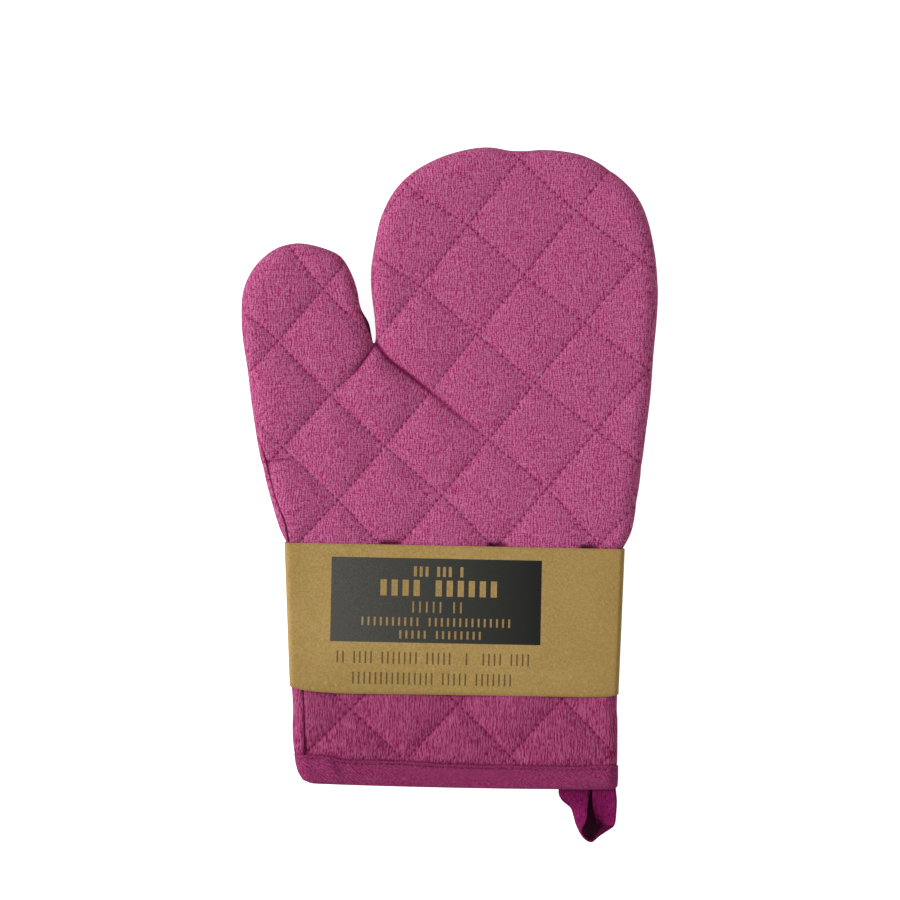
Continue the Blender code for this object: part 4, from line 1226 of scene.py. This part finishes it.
def printed_masks(tree):
    """Masks of the dark panel, of the bare strokes in it and of the dark ones below it, turned with the band."""
    first, last = (in_frame(corner) for corner in PANEL_PIXELS)
    middle = ((first[0] + last[0]) / 2, (first[1] + last[1]) / 2, 0)
    place = mapping(tree, Location=middle, Rotation=(0, 0, -PANEL_TURN))
    x, y, z = add(tree, "SeparateXYZ", {"Vector": place}).outputs
    on_top = calculated(tree, "GREATER_THAN", z, PRINT_ABOVE)

    def between(value, low, high):
        """1 between two values, with a soft edge at each."""
        centre, half = (low + high) / 2, (high - low) / 2
        away = calculated(tree, "ABSOLUTE", calculated(tree, "SUBTRACT", value, centre))
        return mapped(tree, away, half - PRINT_SOFTNESS, half + PRINT_SOFTNESS, 1.0, 0.0)

    def row_mask(rows):
        """The strokes of all the rows. Each stroke is where the fold of X over one spacing is near its middle."""
        masks = []
        for (row_top, row_bottom), spacing, filled, groups in rows:
            top, bottom = (in_frame((0, pixel))[1] - middle[1] for pixel in (row_top, row_bottom))
            ends = [in_frame((pixel, 0))[0] - middle[0] for group in groups for pixel in group]
            step = spacing / PIXELS_PER_METRE
            ends = [ends[0] + round((end - ends[0]) / step) * step for end in ends]
            start, finish = ends[0] - GROUP_MARGIN, ends[-1] + GROUP_MARGIN
            stops = [((end - start) / (finish - start), (WHITE, BLACK)[number % 2]) for number, end in enumerate(ends)]
            group = ramp(tree, mapped(tree, x, start, finish), [(0.0, BLACK), *stops], constant=True)
            stroke = calculated(tree, "PINGPONG", calculated(tree, "SUBTRACT", x, ends[0] + step / 2), step / 2)
            group = times(tree, group, between(stroke, 0.0, step / 2 * filled))
            masks.append(times(tree, group, between(y, bottom, top)))
        return combined(tree, "ADD", masks, clamp=True)

    half_width, half_height = (last[0] - first[0]) / 2, (first[1] - last[1]) / 2
    panel = times(tree, between(x, -half_width, half_width), between(y, -half_height, half_height))
    dark = times(tree, times(tree, row_mask(PAPER_ROWS), on_top), 0.85)
    across = mapped(tree, x, -half_width, half_width)
    return times(tree, panel, on_top), times(tree, row_mask(PANEL_ROWS), 0.9), dark, across


def in_frame(pixel):
    """Where a pixel of the photograph lies in the object's frame, seen from above."""
    return (pixel[0] - ORIGIN_PIXEL[0]) / PIXELS_PER_METRE, (ORIGIN_PIXEL[1] - pixel[1]) / PIXELS_PER_METRE


def placed(name, data):
    """A new object in the scene for a mesh, a lamp or a camera."""
    made = bpy.data.objects.new(name, data)
    bpy.context.scene.collection.objects.link(made)
    return made


def seen_rays(tree):
    """1 for what the camera sees, directly, in a reflection or through glass, and 0 for what lights the pieces."""
    rays = add(tree, "LightPath").outputs
    return combined(tree, "MAXIMUM", [rays[f"Is {kind} Ray"] for kind in ("Camera", "Glossy", "Transmission")])


def build_stage():
    """A plain pale floor, soft light from the left and above, and a camera that looks straight down."""
    mesh = bpy.data.meshes.new("floor")
    corners = [(x * FLOOR_SIDE, y * FLOOR_SIDE, FLOOR_LEVEL) for x, y in [(-1, -1), (1, -1), (1, 1), (-1, 1)]]
    mesh.from_pydata(corners, [], [(0, 1, 2, 3)])
    placed("floor", mesh)
    made, tree, shader = new_material("pale_floor")
    tree.nodes.remove(shader)
    plain = add(tree, "BsdfDiffuse", {"Color": (0.8, 0.8, 0.8, 1)})
    glow = add(tree, "Emission", {"Color": WHITE, "Strength": FLOOR_GLOW})
    both = add(tree, "AddShader", {0: plain.outputs[0], 1: glow.outputs[0]})
    shown = add(tree, "MixShader", {"Fac": seen_rays(tree), 1: plain.outputs[0], 2: both.outputs[0]})
    tree.links.new(shown.outputs[0], tree.nodes["Material Output"].inputs["Surface"])
    mesh.materials.append(made)

    world = bpy.data.worlds.new("studio")
    world.use_nodes = True
    bpy.context.scene.world = world
    tree = world.node_tree
    strength = add(tree, "Math", {0: seen_rays(tree), 1: 1 - AMBIENT, 2: AMBIENT}, operation="MULTIPLY_ADD")
    tree.links.new(strength.outputs[0], tree.nodes["Background"].inputs["Strength"])
    tree.nodes["Background"].inputs["Color"].default_value = WHITE

    key = bpy.data.lights.new("key", "SUN")
    key.energy = KEY_STRENGTH
    key.angle = math.radians(KEY_WIDTH)
    placed("key", key).rotation_euler = [math.radians(turn) for turn in KEY_TURN]

    camera = bpy.data.cameras.new("camera")
    camera.sensor_width = SENSOR_MM
    camera.lens = SENSOR_MM * CAMERA_HEIGHT * PIXELS_PER_METRE / PHOTO_SIDE
    camera.clip_end = 10
    holder = placed("camera", camera)
    holder.location = (*in_frame((PHOTO_SIDE / 2, PHOTO_SIDE / 2)), SEAM_PLANE + CAMERA_HEIGHT)
    bpy.context.scene.camera = holder
    bpy.context.scene.view_settings.view_transform = "Standard"


def build():
    # The colour of the gaps between the yarns, and of the painted shade in the quilting lines and folds
    gap_and_shade = colour(112, 8, 66)
    cloth = cotton("quilted_pink_cotton", colour(147, 22, 82), colour(193, 111, 154), gap_and_shade, quilted=True)
    plain = cotton("plain_cotton_lining", colour(122, 34, 78), colour(172, 84, 128), gap_and_shade)
    # The bias strip is the same cloth as the quilted halves; its darker colours are painted shade, like the cuff's
    bias = cotton("bias_cotton", colour(106, 0, 50), colour(158, 68, 118), gap_and_shade, turn=math.radians(45), fineness=0.7)
    sewing = thread("sewing_thread", colour(112, 8, 62))
    woven = ribbon("woven_ribbon", colour(86, 0, 52), colour(134, 34, 92))
    halves = [
        Half("upper_mitt", "front", 1, (0, 0), 40, 0.4, True),
        Half("upper_mitt", "back", -1, (0.37, 0.22), 28, 2.1, False),
        Half("lower_mitt", "front", 1, (0.61, 0.45), 28, 3.3, False),
        Half("lower_mitt", "back", -1, (0.18, 0.74), 28, 5.2, False),
    ]
    for half in halves:
        quilted_piece(half, cloth)
        lining_piece(half, plain)
        stitching_piece(half, sewing)
    for half, narrower in ((halves[0], 0.0), (halves[2], LOWER_NARROWER)):
        binding_piece(half, bias, narrower)
        binding_stitches_piece(half, sewing)
    loop_piece(halves[0], UPPER_LOOP_EDGES, woven)
    loop_piece(halves[2], LOWER_LOOP_EDGES, woven)
    band_piece(kraft("kraft_paper"))


build()
build_stage()
